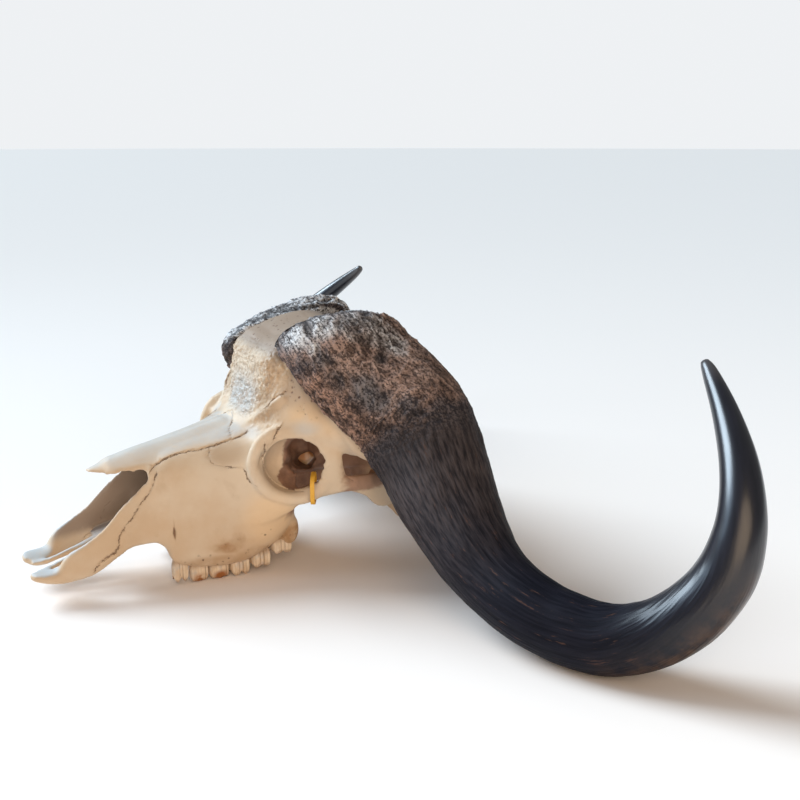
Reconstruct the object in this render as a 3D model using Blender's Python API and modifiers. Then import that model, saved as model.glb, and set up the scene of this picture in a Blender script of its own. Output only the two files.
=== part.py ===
"""Skull of a large horned buffalo without its lower jaw: one bone, two horn sheaths, twelve cheek teeth
and a strap round the bar under the left eye socket.

It lies as it would on a table, on its middle cheek teeth and on the low bend of each horn.
X points to the animal's left, Y to the back of its head and Z up. The tables below are in
millimetres, with Y counted from the front of the first cheek tooth and Z from the table.
The model itself is in metres, with its origin on the table under the middle of the object.
"""

import math

import bmesh
import bpy
import numpy as np

MM = 0.001
ORIGIN_BEHIND_TEETH = 144.85
GAP = 0.3

BONE_VOXEL = 2.6
BONE_FACES = 4400
BONE_SMOOTHING = 5

HORN_SIDES = 18
HORN_STEPS = 2

TOOTH_ROW_FRONT = 5.0
SOCKET_DEPTH = 9.0

COLLECTION = "buffalo_skull"

# Half outlines across the head, from the middle of the roof round to the middle of the underside
FACE = [
    (-10, [(0, 134), (20, 129), (33, 121), (40, 100), (42, 74), (42, 51), (30, 47), (0, 50)]),
    (1, [(0, 137), (21, 132), (36, 122), (43, 100), (46, 68), (46, 43), (34, 40), (0, 48)]),
    (9, [(0, 139), (22, 135), (38, 125), (46, 100), (50, 62), (52, 28), (39, 25), (0, 44)]),
    (38, [(0, 146), (24, 142), (42, 130), (53, 104), (57, 62), (58, 20), (40, 17), (0, 39)]),
    (68, [(0, 153), (30, 148), (52, 136), (66, 110), (68, 68), (63, 19), (42, 17), (0, 38)]),
    (92, [(0, 160), (36, 155), (64, 146), (78, 118), (79, 72), (67, 25.5), (44, 22), (0, 42)]),
    (112, [(0, 172), (44, 164), (74, 152), (86, 122), (84, 80), (68, 36), (46, 31), (0, 48)]),
    (128, [(0, 196), (50, 184), (80, 160), (88, 128), (82, 90), (64, 44), (46, 40), (0, 56)]),
    (136, [(0, 206), (48, 194), (74, 168), (78, 130), (68, 104), (58, 62), (44, 58), (0, 70)]),
]

CRANIUM = [
    (104, [(0, 166), (36, 158), (50, 140), (52, 120), (40, 100), (0, 96)]),
    (122, [(0, 192), (44, 182), (62, 160), (58, 125), (42, 98), (0, 90)]),
    (142, [(0, 228), (52, 214), (68, 170), (54, 128), (42, 98), (0, 86)]),
    (168, [(0, 244), (62, 230), (70, 180), (52, 132), (42, 98), (0, 84)]),
    (204, [(0, 251), (68, 236), (70, 180), (56, 132), (46, 96), (0, 82)]),
    (236, [(0, 249), (66, 232), (70, 180), (62, 132), (52, 92), (0, 80)]),
    (262, [(0, 232), (56, 218), (74, 172), (74, 128), (56, 88), (0, 80)]),
    (284, [(0, 200), (44, 192), (66, 160), (66, 124), (44, 88), (0, 84)]),
    (298, [(0, 168), (26, 162), (42, 142), (42, 120), (28, 96), (0, 92)]),
]

BROW = [
    (90, [(0, 161), (32, 156), (56, 150), (74, 143), (70, 128), (40, 110), (0, 105)]),
    (98, [(0, 170), (32, 164), (54, 157), (78, 148), (74, 130), (40, 110), (0, 105)]),
    (105, [(0, 184), (34, 180), (54, 168), (82, 152), (78, 134), (42, 111), (0, 105)]),
    (109, [(0, 202), (38, 202), (56, 180), (84, 154), (80, 136), (43, 111), (0, 105)]),
    (112, [(0, 220), (44, 221), (58, 190), (86, 157), (82, 138), (44, 112), (0, 105)]),
    (120, [(0, 231), (48, 232), (62, 202), (90, 161), (85, 141), (46, 113), (0, 105)]),
    (130, [(0, 237), (50, 239), (68, 211), (94, 166), (88, 144), (48, 114), (0, 105)]),
    (142, [(0, 241), (54, 242), (78, 212), (102, 168), (94, 140), (50, 116), (0, 105)]),
    (154, [(0, 246), (58, 245), (88, 206), (108, 164), (98, 138), (52, 118), (0, 105)]),
    (170, [(0, 250), (60, 248), (98, 198), (117, 156), (100, 132), (54, 118), (0, 105)]),
    (190, [(0, 253), (62, 250), (104, 188), (126, 146), (104, 126), (58, 118), (0, 105)]),
    (212, [(0, 253), (62, 247), (106, 176), (118, 146), (100, 128), (58, 118), (0, 105)]),
]

# Bars, plates and rods: x, y, z of the middle line, half breadth and half height
PREMAXILLA = [
    (23, -129, 29, 3, 2.5),
    (25, -123, 28, 11, 4.5),
    (27, -113, 26.5, 13, 6),
    (31, -100, 27.5, 10.5, 8.5),
    (36, -86, 35.5, 6.5, 15.5),
    (39, -69, 43.7, 4, 16.5),
    (39.5, -48, 57, 3.6, 17),
    (38.5, -25.5, 72, 3.6, 22.5),
    (38.5, -6, 79, 3.8, 31.5),
    (41, 14, 87, 4, 33),
]
PALATE_ROD = [
    (13, -122, 26, 3.5, 2.5),
    (9, -104, 29, 3.5, 3),
    (8, -80, 36, 4, 3.5),
    (9, -56, 43, 7, 4),
    (10, -30, 48, 10, 5),
]
PALATE_SHELF = [
    (20, -60, 42, 12, 2.5),
    (22, -42, 46, 19, 3),
    (22, -15, 49, 22, 4),
    (22, 20, 45, 22, 5),
]
NASAL = [
    (6, -64, 120, 1.2, 1),
    (8, -54, 121.3, 5, 1.9),
    (9.3, -47, 122.8, 6.8, 2.3),
    (11.2, -42.5, 124.4, 10.8, 2.7),
    (12.2, -35, 125.2, 12.4, 3),
    (14, -18, 128.2, 15, 3.6),
    (16, 10, 133, 18, 4.2),
    (17, 45, 140, 19, 5),
    (17, 82, 148, 19, 6),
]
EYE_RIM = [
    (78, 86, 134, 6, 6.5),
    (80, 98, 152, 6, 7),
    (86, 122, 158, 6, 7.5),
    (95, 146, 148, 6, 8),
    (101, 159, 122, 6, 8.5),
    (101, 150, 98.5, 6, 7.5),
    (95, 128, 87.5, 6, 6.5),
    (84, 99, 96, 6, 7),
    (79, 87, 116, 6, 6.5),
]
CHEEK_ARCH = [
    (74, 104, 80, 8, 18),
    (90, 134, 91, 7, 10),
    (101, 158, 96.5, 6, 8.5),
    (107, 180, 99, 5.5, 9),
    (106, 204, 93, 5.5, 14),
    (94, 226, 81, 8, 20),
    (74, 248, 84, 10, 24),
]
ARCH_UPRIGHT = [
    (98, 160, 148, 6, 9),
    (103, 164, 128, 5.5, 8),
    (105, 166, 104, 5.5, 9),
]
HORN_SEAT = [
    (20, 192, 214, 52, 34),
    (58, 198, 208, 58, 38),
    (92, 208, 184, 56, 42),
    (120, 218, 156, 48, 38),
    (138, 226, 140, 30, 24),
]
NECK_PROCESS = [
    (70, 242, 100, 10, 26),
    (70, 250, 72, 8, 22),
    (67, 258, 48, 6, 12),
    (64, 262, 33, 3, 4),
]
WING_PLATE = [
    (30, 132, 58, 3.5, 18),
    (28, 152, 80, 3, 14),
    (25, 178, 88, 3, 12),
    (24, 204, 88, 3, 10),
]
CHEEK_RIDGE = [
    (60, 62, 62, 5, 10),
    (76, 92, 70, 6, 12),
    (86, 120, 84, 6, 12),
]
BROW_RIDGE = [
    (36, 93, 154, 4, 3),
    (42, 99, 162, 6, 5),
    (50, 104, 168, 6, 6),
    (60, 109, 175, 6, 6),
    (68, 115, 183, 6, 6),
    (72, 123, 192, 5, 4),
]

# Rounded lumps: centre and the three radii
LUMPS = [
    ((24, 292, 98), (17, 20, 18)),
    ((36, 236, 84), (13, 22, 16)),
    ((70, 258, 122), (16, 20, 26)),
    ((62, 128, 43.5), (8, 10.5, 18)),
]
MIDDLE_LUMPS = [
    ((0, 277, 198), (36, 12, 16)),
    ((0, 240, 86), (26, 60, 12)),
]

# Hollows: the same kind of rows as the bars
EYE_HOLLOW = [
    (120, 114, 126, 34, 31),
    (98, 121, 123.5, 31.5, 29),
    (82, 126, 122, 30, 27.5),
    (71, 130, 120, 26, 23),
    (63, 134, 118, 16, 13),
]
EYE_DEPTHS = [
    (94, 145, 126, 13, 16),
    (74, 147, 127, 19, 19),
    (54, 151, 125, 18, 18),
    (36, 155, 122, 13, 13),
    (24, 157, 120, 7, 7),
]
NOSE_HOLLOW = [
    (0, -34, 88, 34, 38),
    (0, -8, 90, 34, 38),
    (0, 30, 92, 34, 40),
    (0, 62, 94, 28, 34),
    (0, 88, 96, 14, 16),
]
THROAT_HOLLOW = [
    (0, 206, 56, 18, 12),
    (0, 172, 72, 19, 15),
    (0, 142, 74, 17, 13),
    (0, 112, 72, 12, 9),
]
BRAIN_HOLE = [
    (0, 330, 122, 19, 17),
    (0, 300, 120, 18, 16),
    (0, 272, 118, 16, 14),
    (0, 248, 118, 8, 7),
]
TEMPLE_HOLLOW = [
    (84, 150, 128, 15, 22),
    (86, 176, 118, 18, 24),
    (84, 204, 108, 18, 22),
    (84, 226, 98, 10, 10),
]

# The horns' rows have one half height above the middle line and another below it, where the bone is.
# The two bosses differ, as a real animal's do: the right one is rounder, tilted, and hangs lower in front.
LEFT_BOSS = [
    (43, 187, 246, 54, 14, 7),
    (53, 188, 244, 63, 27, 13),
    (72, 189, 235, 66, 39, 20),
    (98, 206, 209, 67, 38, 25),
    (128, 233, 173, 65, 49, 35),
]
RIGHT_BOSS = [
    (43, 178, 241, 60, 10, 7),
    (53, 179, 236, 71, 21, 14),
    (72, 186, 223, 78, 39, 24),
    (98, 205, 203, 74, 48, 30),
    (128, 229, 171, 64, 49, 38),
]
LEFT_SIDE = (0, 1, 0.09)
RIGHT_SIDE = (0, 1, 0.16)
LEFT_SQUARENESS = (2.1, 2)
RIGHT_SQUARENESS = (2.2, 2)
HORN = [
    (158, 240, 140, 60, 52, 44),
    (207, 237, 102, 51, 44.5, 43),
    (251, 235, 73.5, 42.5, 38.5, 38),
    (293, 239, 52.5, 35.5, 34.5, 34),
    (333, 249, 39.5, 33.5, 33, 33),
    (369, 267, 32.4, 32.5, 31.8, 31.7),
    (401, 287, 33, 31.2, 30.8, 30.8),
    (427, 309, 47, 29.2, 28.6, 28.6),
    (447, 328, 71.5, 28.6, 27, 27),
    (459, 344.5, 103, 26, 24.5, 24.5),
    (461, 354, 135, 22.2, 21, 21),
    (453, 363, 163, 18.8, 17.6, 17.6),
]
LEFT_TIP = [
    (433, 376, 190, 15.6, 15, 15),
    (399, 394, 218, 11.5, 11.5, 11.5),
    (364, 409.5, 242, 7.2, 7.5, 7.5),
    (350, 414, 252, 4, 4, 4),
]
RIGHT_TIP = [
    (435, 380, 190, 13.5, 13, 13),
    (403, 402, 219, 10.5, 10.5, 10.5),
    (366, 415, 244, 7, 7, 7),
    (349, 418, 255, 4, 4, 4),
]

# Cheek teeth from front to back: name, length along the row, breadth, x of the outer wall,
# height of the biting edge, height of the gum, lobes
TEETH = [
    ("premolar_2", 17.5, 12.0, 50.0, 2.0, 22.0, 1),
    ("premolar_3", 20.0, 15.0, 53.5, 0.0, 16.0, 1),
    ("premolar_4", 21.5, 18.0, 56.5, 0.0, 15.0, 1),
    ("molar_1", 22.0, 21.0, 59.5, 0.0, 17.0, 2),
    ("molar_2", 22.5, 22.0, 62.5, 5.5, 21.0, 2),
    ("molar_3", 23.5, 20.0, 64.5, 17.0, 32.0, 2),
]

# The first tooth on the right is broken off short, so its edge lies higher than its partner's
BROKEN_TOOTH = "premolar_2_right"
BROKEN_EDGE = 15.0

STRAP_CENTRE = (98.5, 141.5, 98)
STRAP_FACING = (0.475, 0.88, 0)
STRAP_RADIUS = 15
STRAP_SQUARENESS = 3
STRAP_POINTS = 16
STRAP_WIDTH = 4.6
STRAP_THICKNESS = 1.4

MATERIALS = {
    "bone": ((0.74, 0.60, 0.44, 1), 0.62, 0.0),
    "horn": ((0.035, 0.030, 0.028, 1), 0.42, 0.0),
    "tooth": ((0.66, 0.52, 0.36, 1), 0.45, 0.0),
    "strap": ((0.85, 0.52, 0.08, 1), 0.5, 0.0),
}


def clear_scene():
    for thing in list(bpy.data.objects):
        bpy.data.objects.remove(thing, do_unlink=True)
    for group in list(bpy.data.collections):
        bpy.data.collections.remove(group)


def make_collection(name):
    group = bpy.data.collections.new(name)
    bpy.context.scene.collection.children.link(group)
    return group


def make_material(name, colour, roughness, metallic):
    material = bpy.data.materials.new(name)
    material.use_nodes = True
    shader = material.node_tree.nodes["Principled BSDF"]
    shader.inputs["Base Color"].default_value = colour
    shader.inputs["Roughness"].default_value = roughness
    shader.inputs["Metallic"].default_value = metallic
    material.diffuse_color = colour
    return material


def smooth_rows(rows, steps):
    """A smooth curve through the rows, with that many steps from each row to the next."""
    rows = np.array(rows, float)
    before = np.vstack([2 * rows[0] - rows[1], rows[:-1]])
    after = np.vstack([rows[1:], 2 * rows[-1] - rows[-2]])
    slopes = (after - before) / 2
    curve = []
    for i in range(len(rows) - 1):
        for t in np.arange(steps) / steps:
            a, b = rows[i], rows[i + 1]
            curve.append(
                (2 * t**3 - 3 * t**2 + 1) * a
                + (t**3 - 2 * t**2 + t) * slopes[i]
                + (3 * t**2 - 2 * t**3) * b
                + (t**3 - t**2) * slopes[i + 1]
            )
    curve.append(rows[-1])
    return np.array(curve)


def smooth_loop(rows, steps):
    """The same for rows that come back to the first one."""
    rows = np.array(rows, float)
    around = np.vstack([rows[-2:], rows, rows[:3]])
    curve = smooth_rows(around, steps)
    return curve[2 * steps : (2 + len(rows)) * steps]


def unit(vectors):
    return vectors / np.linalg.norm(vectors, axis=-1, keepdims=True)


def make_body(name, rings, closed, group):
    """A closed body with a skin from ring to ring and, unless it is closed on itself, a cap at each end."""
    bm = bmesh.new()
    place = np.array([0, ORIGIN_BEHIND_TEETH, 0])
    rows = [[bm.verts.new((p - place) * MM) for p in ring] for ring in rings]
    count = len(rows)
    sides = len(rows[0])
    for i in range(count if closed else count - 1):
        here, there = rows[i], rows[(i + 1) % count]
        for j in range(sides):
            k = (j + 1) % sides
            bm.faces.new((here[j], here[k], there[k], there[j]))
    if not closed:
        bm.faces.new(reversed(rows[0]))
        bm.faces.new(rows[-1])
    bmesh.ops.recalc_face_normals(bm, faces=bm.faces)
    # Triangles here keep a grown copy of the body flat where the body is
    bmesh.ops.triangulate(bm, faces=bm.faces)
    mesh = bpy.data.meshes.new(name)
    bm.to_mesh(mesh)
    bm.free()
    body = bpy.data.objects.new(name, mesh)
    group.objects.link(body)
    return body


def sweep(name, rows, side, group, sides=14, steps=4, closed=False, mirrored=False, squareness=2.0):
    """A bar along the rows: its half breadth is measured along side and its half height across that.

    A sixth number in the rows is the half height below, where it differs from the one above.
    """
    path = smooth_loop(rows, steps) if closed else smooth_rows(rows, steps)
    middle = path[:, :3]
    if closed:
        along = unit(np.roll(middle, -1, axis=0) - np.roll(middle, 1, axis=0))
    else:
        along = unit(np.gradient(middle, axis=0))
    side = np.broadcast_to(np.array(side, float), middle.shape)
    across = unit(side - along * (side * along).sum(1, keepdims=True))
    up = np.cross(along, across)
    turn = np.arange(sides) * 2 * math.pi / sides
    power = 2 / np.linspace(*np.broadcast_to(squareness, 2), len(path))[:, None]
    cos = np.sign(np.cos(turn)) * np.abs(np.cos(turn)) ** power
    sin = np.sign(np.sin(turn)) * np.abs(np.sin(turn)) ** power
    rings = (
        middle[:, None]
        + across[:, None] * (path[:, 3, None] * cos)[..., None]
        + up[:, None] * (np.where(sin > 0, path[:, 4, None], path[:, -1, None]) * sin)[..., None]
    )
    if mirrored:
        rings = rings * [-1, 1, 1]
    return make_body(name, rings, closed, group)


def loft(name, stations, group, steps=3):
    """A body through half outlines that stand across Y, each mirrored to a whole one."""
    rows = []
    for y, outline in stations:
        half = smooth_rows(outline, 3)
        whole = np.vstack([half, (half * [-1, 1])[-2:0:-1]])
        rows.append(np.column_stack([whole[:, 0], np.full(len(whole), y), whole[:, 1]]).ravel())
    rings = smooth_rows(rows, steps).reshape(-1, len(whole), 3)
    return make_body(name, rings, False, group)


def lump(name, centre, radii, group):
    bm = bmesh.new()
    bmesh.ops.create_uvsphere(bm, u_segments=16, v_segments=10, radius=1)
    place = np.array([0, ORIGIN_BEHIND_TEETH, 0])
    for vert in bm.verts:
        vert.co = (np.array(vert.co) * radii + centre - place) * MM
    mesh = bpy.data.meshes.new(name)
    bm.to_mesh(mesh)
    bm.free()
    body = bpy.data.objects.new(name, mesh)
    group.objects.link(body)
    return body


def pair(name, rows, side, group, **shape):
    """The same bar on the left and on the right."""
    left = sweep(name + "_left", rows, side, group, **shape)
    right = sweep(name + "_right", rows, side, group, mirrored=True, **shape)
    return [left, right]


def join(name, bodies):
    """One object that holds the meshes of the bodies."""
    bm = bmesh.new()
    for body in bodies:
        bm.from_mesh(body.data)
        bpy.data.objects.remove(body)
    mesh = bpy.data.meshes.new(name)
    bm.to_mesh(mesh)
    bm.free()
    return bpy.data.objects.new(name, mesh)


def lean(degrees):
    angle = math.radians(degrees)
    return (math.cos(angle), 0, math.sin(angle))


def bone_forms(group):
    forms = [loft("face", FACE, group), loft("cranium", CRANIUM, group), loft("brow", BROW, group)]
    forms += pair("premaxilla", PREMAXILLA, lean(8), group, squareness=2.6)
    forms += pair("palate_rod", PALATE_ROD, lean(0), group)
    forms += pair("palate_shelf", PALATE_SHELF, lean(0), group)
    forms += pair("nasal", NASAL, lean(-27), group, squareness=2.4)
    forms += pair("eye_rim", EYE_RIM, (0.95, -0.30, 0.09), group, closed=True)
    forms += pair("cheek_arch", CHEEK_ARCH, (1, 0, 0), group)
    forms += pair("arch_upright", ARCH_UPRIGHT, (1, 0, 0), group)
    forms += pair("horn_seat", HORN_SEAT, (0, 1, 0), group)
    forms += pair("neck_process", NECK_PROCESS, (1, 0, 0), group)
    forms += pair("wing_plate", WING_PLATE, (1, 0, 0), group)
    forms += pair("cheek_ridge", CHEEK_RIDGE, (1, 0, 0), group)
    forms += pair("brow_ridge", BROW_RIDGE, (1, 0, 0), group)
    for i, (centre, radii) in enumerate(LUMPS):
        for hand in (1, -1):
            forms.append(lump(f"lump_{i}_{hand}", (hand * centre[0], centre[1], centre[2]), radii, group))
    for i, (centre, radii) in enumerate(MIDDLE_LUMPS):
        forms.append(lump(f"middle_lump_{i}", centre, radii, group))
    return forms


def hollow_forms(group):
    forms = pair("eye_hollow", EYE_HOLLOW, (0, 1, 0), group)
    forms += pair("eye_depths", EYE_DEPTHS, (0, 1, 0), group)
    forms += pair("temple_hollow", TEMPLE_HOLLOW, (1, 0, 0), group)
    forms.append(sweep("nose_hollow", NOSE_HOLLOW, (1, 0, 0), group, squareness=2.8))
    forms.append(sweep("throat_hollow", THROAT_HOLLOW, (1, 0, 0), group))
    forms.append(sweep("brain_hole", BRAIN_HOLE, (1, 0, 0), group))
    return forms


def add_remesh(body):
    remesh = body.modifiers.new("Even skin", "REMESH")
    remesh.mode = "VOXEL"
    remesh.voxel_size = BONE_VOXEL * MM
    remesh.use_smooth_shade = True


def add_cut(body, cutter):
    cut = body.modifiers.new("Cut by " + cutter.name, "BOOLEAN")
    cut.operation = "DIFFERENCE"
    cut.solver = "EXACT"
    cut.object = cutter


def as_cutter(body, group):
    group.objects.link(body)
    body.hide_render = True
    body.display_type = "WIRE"
    return body


def grown_copy(name, bodies, distance, group):
    """A cutter for the bodies with room for the gap that keeps touching pieces apart."""
    bm = bmesh.new()
    for body in bodies:
        bm.from_mesh(body.data)
    bm.normal_update()
    moved = [vert.co + vert.normal * distance * MM * vert.calc_shell_factor() for vert in bm.verts]
    for vert, place in zip(bm.verts, moved):
        vert.co = place
    mesh = bpy.data.meshes.new(name)
    bm.to_mesh(mesh)
    bm.free()
    return as_cutter(bpy.data.objects.new(name, mesh), group)


def make_skull(parts, cutters, horns, teeth):
    skull = join("skull", bone_forms(parts))
    parts.objects.link(skull)
    hollows = as_cutter(join("hollows", hollow_forms(cutters)), cutters)
    add_remesh(hollows)
    add_remesh(skull)
    add_cut(skull, hollows)
    add_remesh(skull)
    soften = skull.modifiers.new("Soften", "SMOOTH")
    soften.factor = 0.5
    soften.iterations = BONE_SMOOTHING
    bpy.context.view_layer.update()
    faces = len(skull.evaluated_get(bpy.context.evaluated_depsgraph_get()).data.polygons)
    thin = skull.modifiers.new("Thin out", "DECIMATE")
    thin.ratio = BONE_FACES / (2 * faces)
    thin.use_symmetry = True
    thin.symmetry_axis = "X"
    add_cut(skull, grown_copy("horn_room", horns, GAP, cutters))
    add_cut(skull, grown_copy("tooth_room", teeth, GAP, cutters))
    return skull


def make_horns(parts):
    shape = dict(sides=HORN_SIDES, steps=HORN_STEPS)
    left = sweep(
        "horn_left", LEFT_BOSS + HORN + LEFT_TIP, LEFT_SIDE, parts, squareness=LEFT_SQUARENESS, **shape
    )
    right = sweep(
        "horn_right",
        RIGHT_BOSS + HORN + RIGHT_TIP,
        RIGHT_SIDE,
        parts,
        squareness=RIGHT_SQUARENESS,
        mirrored=True,
        **shape,
    )
    return [left, right]


def tooth_outline(length, breadth, lobes):
    """The outline of a tooth from below: ribs on its outer wall and rounded lobes on its inner one."""
    points = []
    ribs = 2 * lobes
    for i in range(ribs + 1):
        along = -0.5 + i / ribs
        points.append((breadth * (0.5 if i % 2 == 0 else 0.42), along * length))
    points.append((0, 0.5 * length))
    for i in range(ribs, -1, -1):
        along = -0.5 + i / ribs
        points.append((-breadth * (0.38 if i % 2 == 0 else 0.5), along * length * 0.86))
    points.append((0, -0.5 * length))
    return np.array(points)


def make_tooth(name, start, row, mirrored, group):
    _, length, breadth, outer, edge, gum, lobes = row
    if name == BROKEN_TOOTH:
        edge = BROKEN_EDGE
    outline = tooth_outline(length - GAP, breadth, lobes)
    centre = (outer - breadth / 2, start + length / 2)
    count = len(outline)
    cusps = 2.6 * (np.arange(count) % 2 == 0)
    levels = [
        (gum + SOCKET_DEPTH, 0.72, 0),
        (gum, 0.86, 0),
        (edge + 4, 0.98, 0),
        (edge, 0.90, 1),
    ]
    rings = []
    for height, scale, bite in levels:
        flat = outline * [scale, min(1, scale + 0.08)] + centre
        rings.append(np.column_stack([flat, np.full(count, height) + bite * cusps]))
    rings = np.array(rings)
    if mirrored:
        rings = rings * [-1, 1, 1]
    return make_body(name, rings, False, group)


def make_teeth(parts):
    teeth = []
    start = TOOTH_ROW_FRONT
    for row in TEETH:
        for hand, mirrored in (("left", False), ("right", True)):
            teeth.append(make_tooth(f"{row[0]}_{hand}", start, row, mirrored, parts))
        start += row[1]
    return teeth


def make_strap(parts):
    """A flat band that hangs loosely round the bar under the eye socket."""
    rows = []
    for i in range(STRAP_POINTS):
        turn = i * 2 * math.pi / STRAP_POINTS
        across, up = math.cos(turn), math.sin(turn)
        size = abs(across) ** STRAP_SQUARENESS + abs(up) ** STRAP_SQUARENESS
        reach = STRAP_RADIUS / size ** (1 / STRAP_SQUARENESS)
        direction = np.array([STRAP_FACING[1] * across, -STRAP_FACING[0] * across, up])
        rows.append((*(STRAP_CENTRE + reach * direction), STRAP_WIDTH / 2, STRAP_THICKNESS / 2))
    return sweep("tag_strap", rows, STRAP_FACING, parts, sides=4, steps=1, closed=True)


def paint(body, kind):
    body.data.materials.clear()
    body.data.materials.append(make_material(body.name + "_" + kind, *MATERIALS[kind]))
    body.data.shade_smooth()


def main():
    clear_scene()
    parts = make_collection(COLLECTION)
    cutters = make_collection("cutters")
    horns = make_horns(parts)
    teeth = make_teeth(parts)
    strap = make_strap(parts)
    skull = make_skull(parts, cutters, horns, teeth)
    paint(skull, "bone")
    for horn in horns:
        paint(horn, "horn")
    for tooth in teeth:
        paint(tooth, "tooth")
    paint(strap, "strap")


main()
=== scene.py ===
"""Buffalo skull with horns: fine surfaces, finishes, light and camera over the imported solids."""

import math

import bmesh
import bpy
import numpy as np
from bpy.props import FloatProperty, FloatVectorProperty, IntProperty, PointerProperty
from bpy.types import Operator, Panel, PropertyGroup
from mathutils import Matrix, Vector


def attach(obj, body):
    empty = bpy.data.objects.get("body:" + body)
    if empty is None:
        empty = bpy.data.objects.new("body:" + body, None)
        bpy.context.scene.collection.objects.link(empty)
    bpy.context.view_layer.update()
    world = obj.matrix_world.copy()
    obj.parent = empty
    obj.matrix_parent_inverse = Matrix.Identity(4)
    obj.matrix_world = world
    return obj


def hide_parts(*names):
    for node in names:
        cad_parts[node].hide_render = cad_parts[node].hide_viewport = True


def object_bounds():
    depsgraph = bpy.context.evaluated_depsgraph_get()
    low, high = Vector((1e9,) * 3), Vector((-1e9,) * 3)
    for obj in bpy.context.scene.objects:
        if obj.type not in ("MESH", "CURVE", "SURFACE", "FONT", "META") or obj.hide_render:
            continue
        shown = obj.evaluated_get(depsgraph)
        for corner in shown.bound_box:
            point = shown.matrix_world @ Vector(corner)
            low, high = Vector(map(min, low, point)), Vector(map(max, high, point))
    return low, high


bl_info = {
    "name": "Buffalo Skull",
    "version": (1, 0, 0),
    "blender": (4, 5, 0),
    "location": "3D View > Sidebar > Skull",
    "description": "Models a horned buffalo skull with its teeth, finishes, light and camera",
    "category": "Add Mesh",
}

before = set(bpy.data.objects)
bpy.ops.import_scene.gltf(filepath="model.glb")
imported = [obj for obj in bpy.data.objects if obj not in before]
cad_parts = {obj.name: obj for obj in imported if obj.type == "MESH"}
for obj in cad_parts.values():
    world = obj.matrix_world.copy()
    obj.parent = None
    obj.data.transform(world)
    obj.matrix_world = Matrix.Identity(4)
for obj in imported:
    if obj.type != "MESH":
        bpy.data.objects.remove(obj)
CAD_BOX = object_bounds()

MM = 0.001
ORIGIN_BEHIND_TEETH = 144.85

# The tables are in millimetres, with Y counted from the front of the first cheek tooth.
# Half outlines across the head, from the middle of the roof round to the middle of the underside
FACE = [
    (-10, [(0, 134), (20, 129), (33, 121), (40, 100), (42, 74), (42, 51), (30, 47), (0, 50)]),
    (1, [(0, 137), (21, 132), (36, 122), (43, 100), (46, 68), (46, 43), (34, 40), (0, 48)]),
    (9, [(0, 139), (22, 135), (38, 125), (46, 100), (50, 62), (52, 28), (39, 25), (0, 44)]),
    (38, [(0, 146), (24, 142), (42, 130), (53, 104), (57, 62), (58, 20), (40, 17), (0, 39)]),
    (68, [(0, 153), (30, 148), (52, 136), (66, 110), (68, 68), (63, 19), (42, 17), (0, 38)]),
    (92, [(0, 160), (36, 155), (64, 146), (78, 118), (79, 72), (67, 25.5), (44, 22), (0, 42)]),
    (112, [(0, 172), (44, 164), (74, 152), (86, 122), (84, 80), (68, 36), (46, 31), (0, 48)]),
    (128, [(0, 196), (50, 184), (80, 160), (88, 128), (82, 90), (64, 44), (46, 40), (0, 56)]),
    (136, [(0, 206), (48, 194), (74, 168), (78, 130), (68, 104), (58, 62), (44, 58), (0, 70)]),
]
CRANIUM = [
    (104, [(0, 166), (36, 158), (50, 140), (52, 120), (40, 100), (0, 96)]),
    (122, [(0, 192), (44, 182), (62, 160), (58, 125), (42, 98), (0, 90)]),
    (142, [(0, 228), (52, 214), (68, 170), (54, 128), (42, 98), (0, 86)]),
    (168, [(0, 244), (62, 230), (70, 180), (52, 132), (42, 98), (0, 84)]),
    (204, [(0, 251), (68, 236), (70, 180), (56, 132), (46, 96), (0, 82)]),
    (236, [(0, 249), (66, 232), (70, 180), (62, 132), (52, 92), (0, 80)]),
    (262, [(0, 232), (56, 218), (74, 172), (74, 128), (56, 88), (0, 80)]),
    (284, [(0, 200), (44, 192), (66, 160), (66, 124), (44, 88), (0, 84)]),
    (298, [(0, 168), (26, 162), (42, 142), (42, 120), (28, 96), (0, 92)]),
]
BROW = [
    (90, [(0, 161), (32, 156), (56, 150), (74, 143), (70, 128), (40, 110), (0, 105)]),
    (98, [(0, 170), (32, 164), (54, 157), (78, 148), (74, 130), (40, 110), (0, 105)]),
    (105, [(0, 184), (34, 180), (54, 168), (82, 152), (78, 134), (42, 111), (0, 105)]),
    (109, [(0, 202), (38, 202), (56, 180), (84, 154), (80, 136), (43, 111), (0, 105)]),
    (112, [(0, 220), (44, 221), (58, 190), (86, 157), (82, 138), (44, 112), (0, 105)]),
    (120, [(0, 231), (48, 232), (62, 202), (90, 161), (85, 141), (46, 113), (0, 105)]),
    (130, [(0, 237), (50, 239), (68, 211), (94, 166), (88, 144), (48, 114), (0, 105)]),
    (142, [(0, 241), (54, 242), (78, 212), (102, 168), (94, 140), (50, 116), (0, 105)]),
    (154, [(0, 246), (58, 245), (88, 206), (108, 164), (98, 138), (52, 118), (0, 105)]),
    (170, [(0, 250), (60, 248), (98, 198), (117, 156), (100, 132), (54, 118), (0, 105)]),
    (190, [(0, 253), (62, 250), (104, 188), (126, 146), (104, 126), (58, 118), (0, 105)]),
    (212, [(0, 253), (62, 247), (106, 176), (118, 146), (100, 128), (58, 118), (0, 105)]),
]

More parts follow.
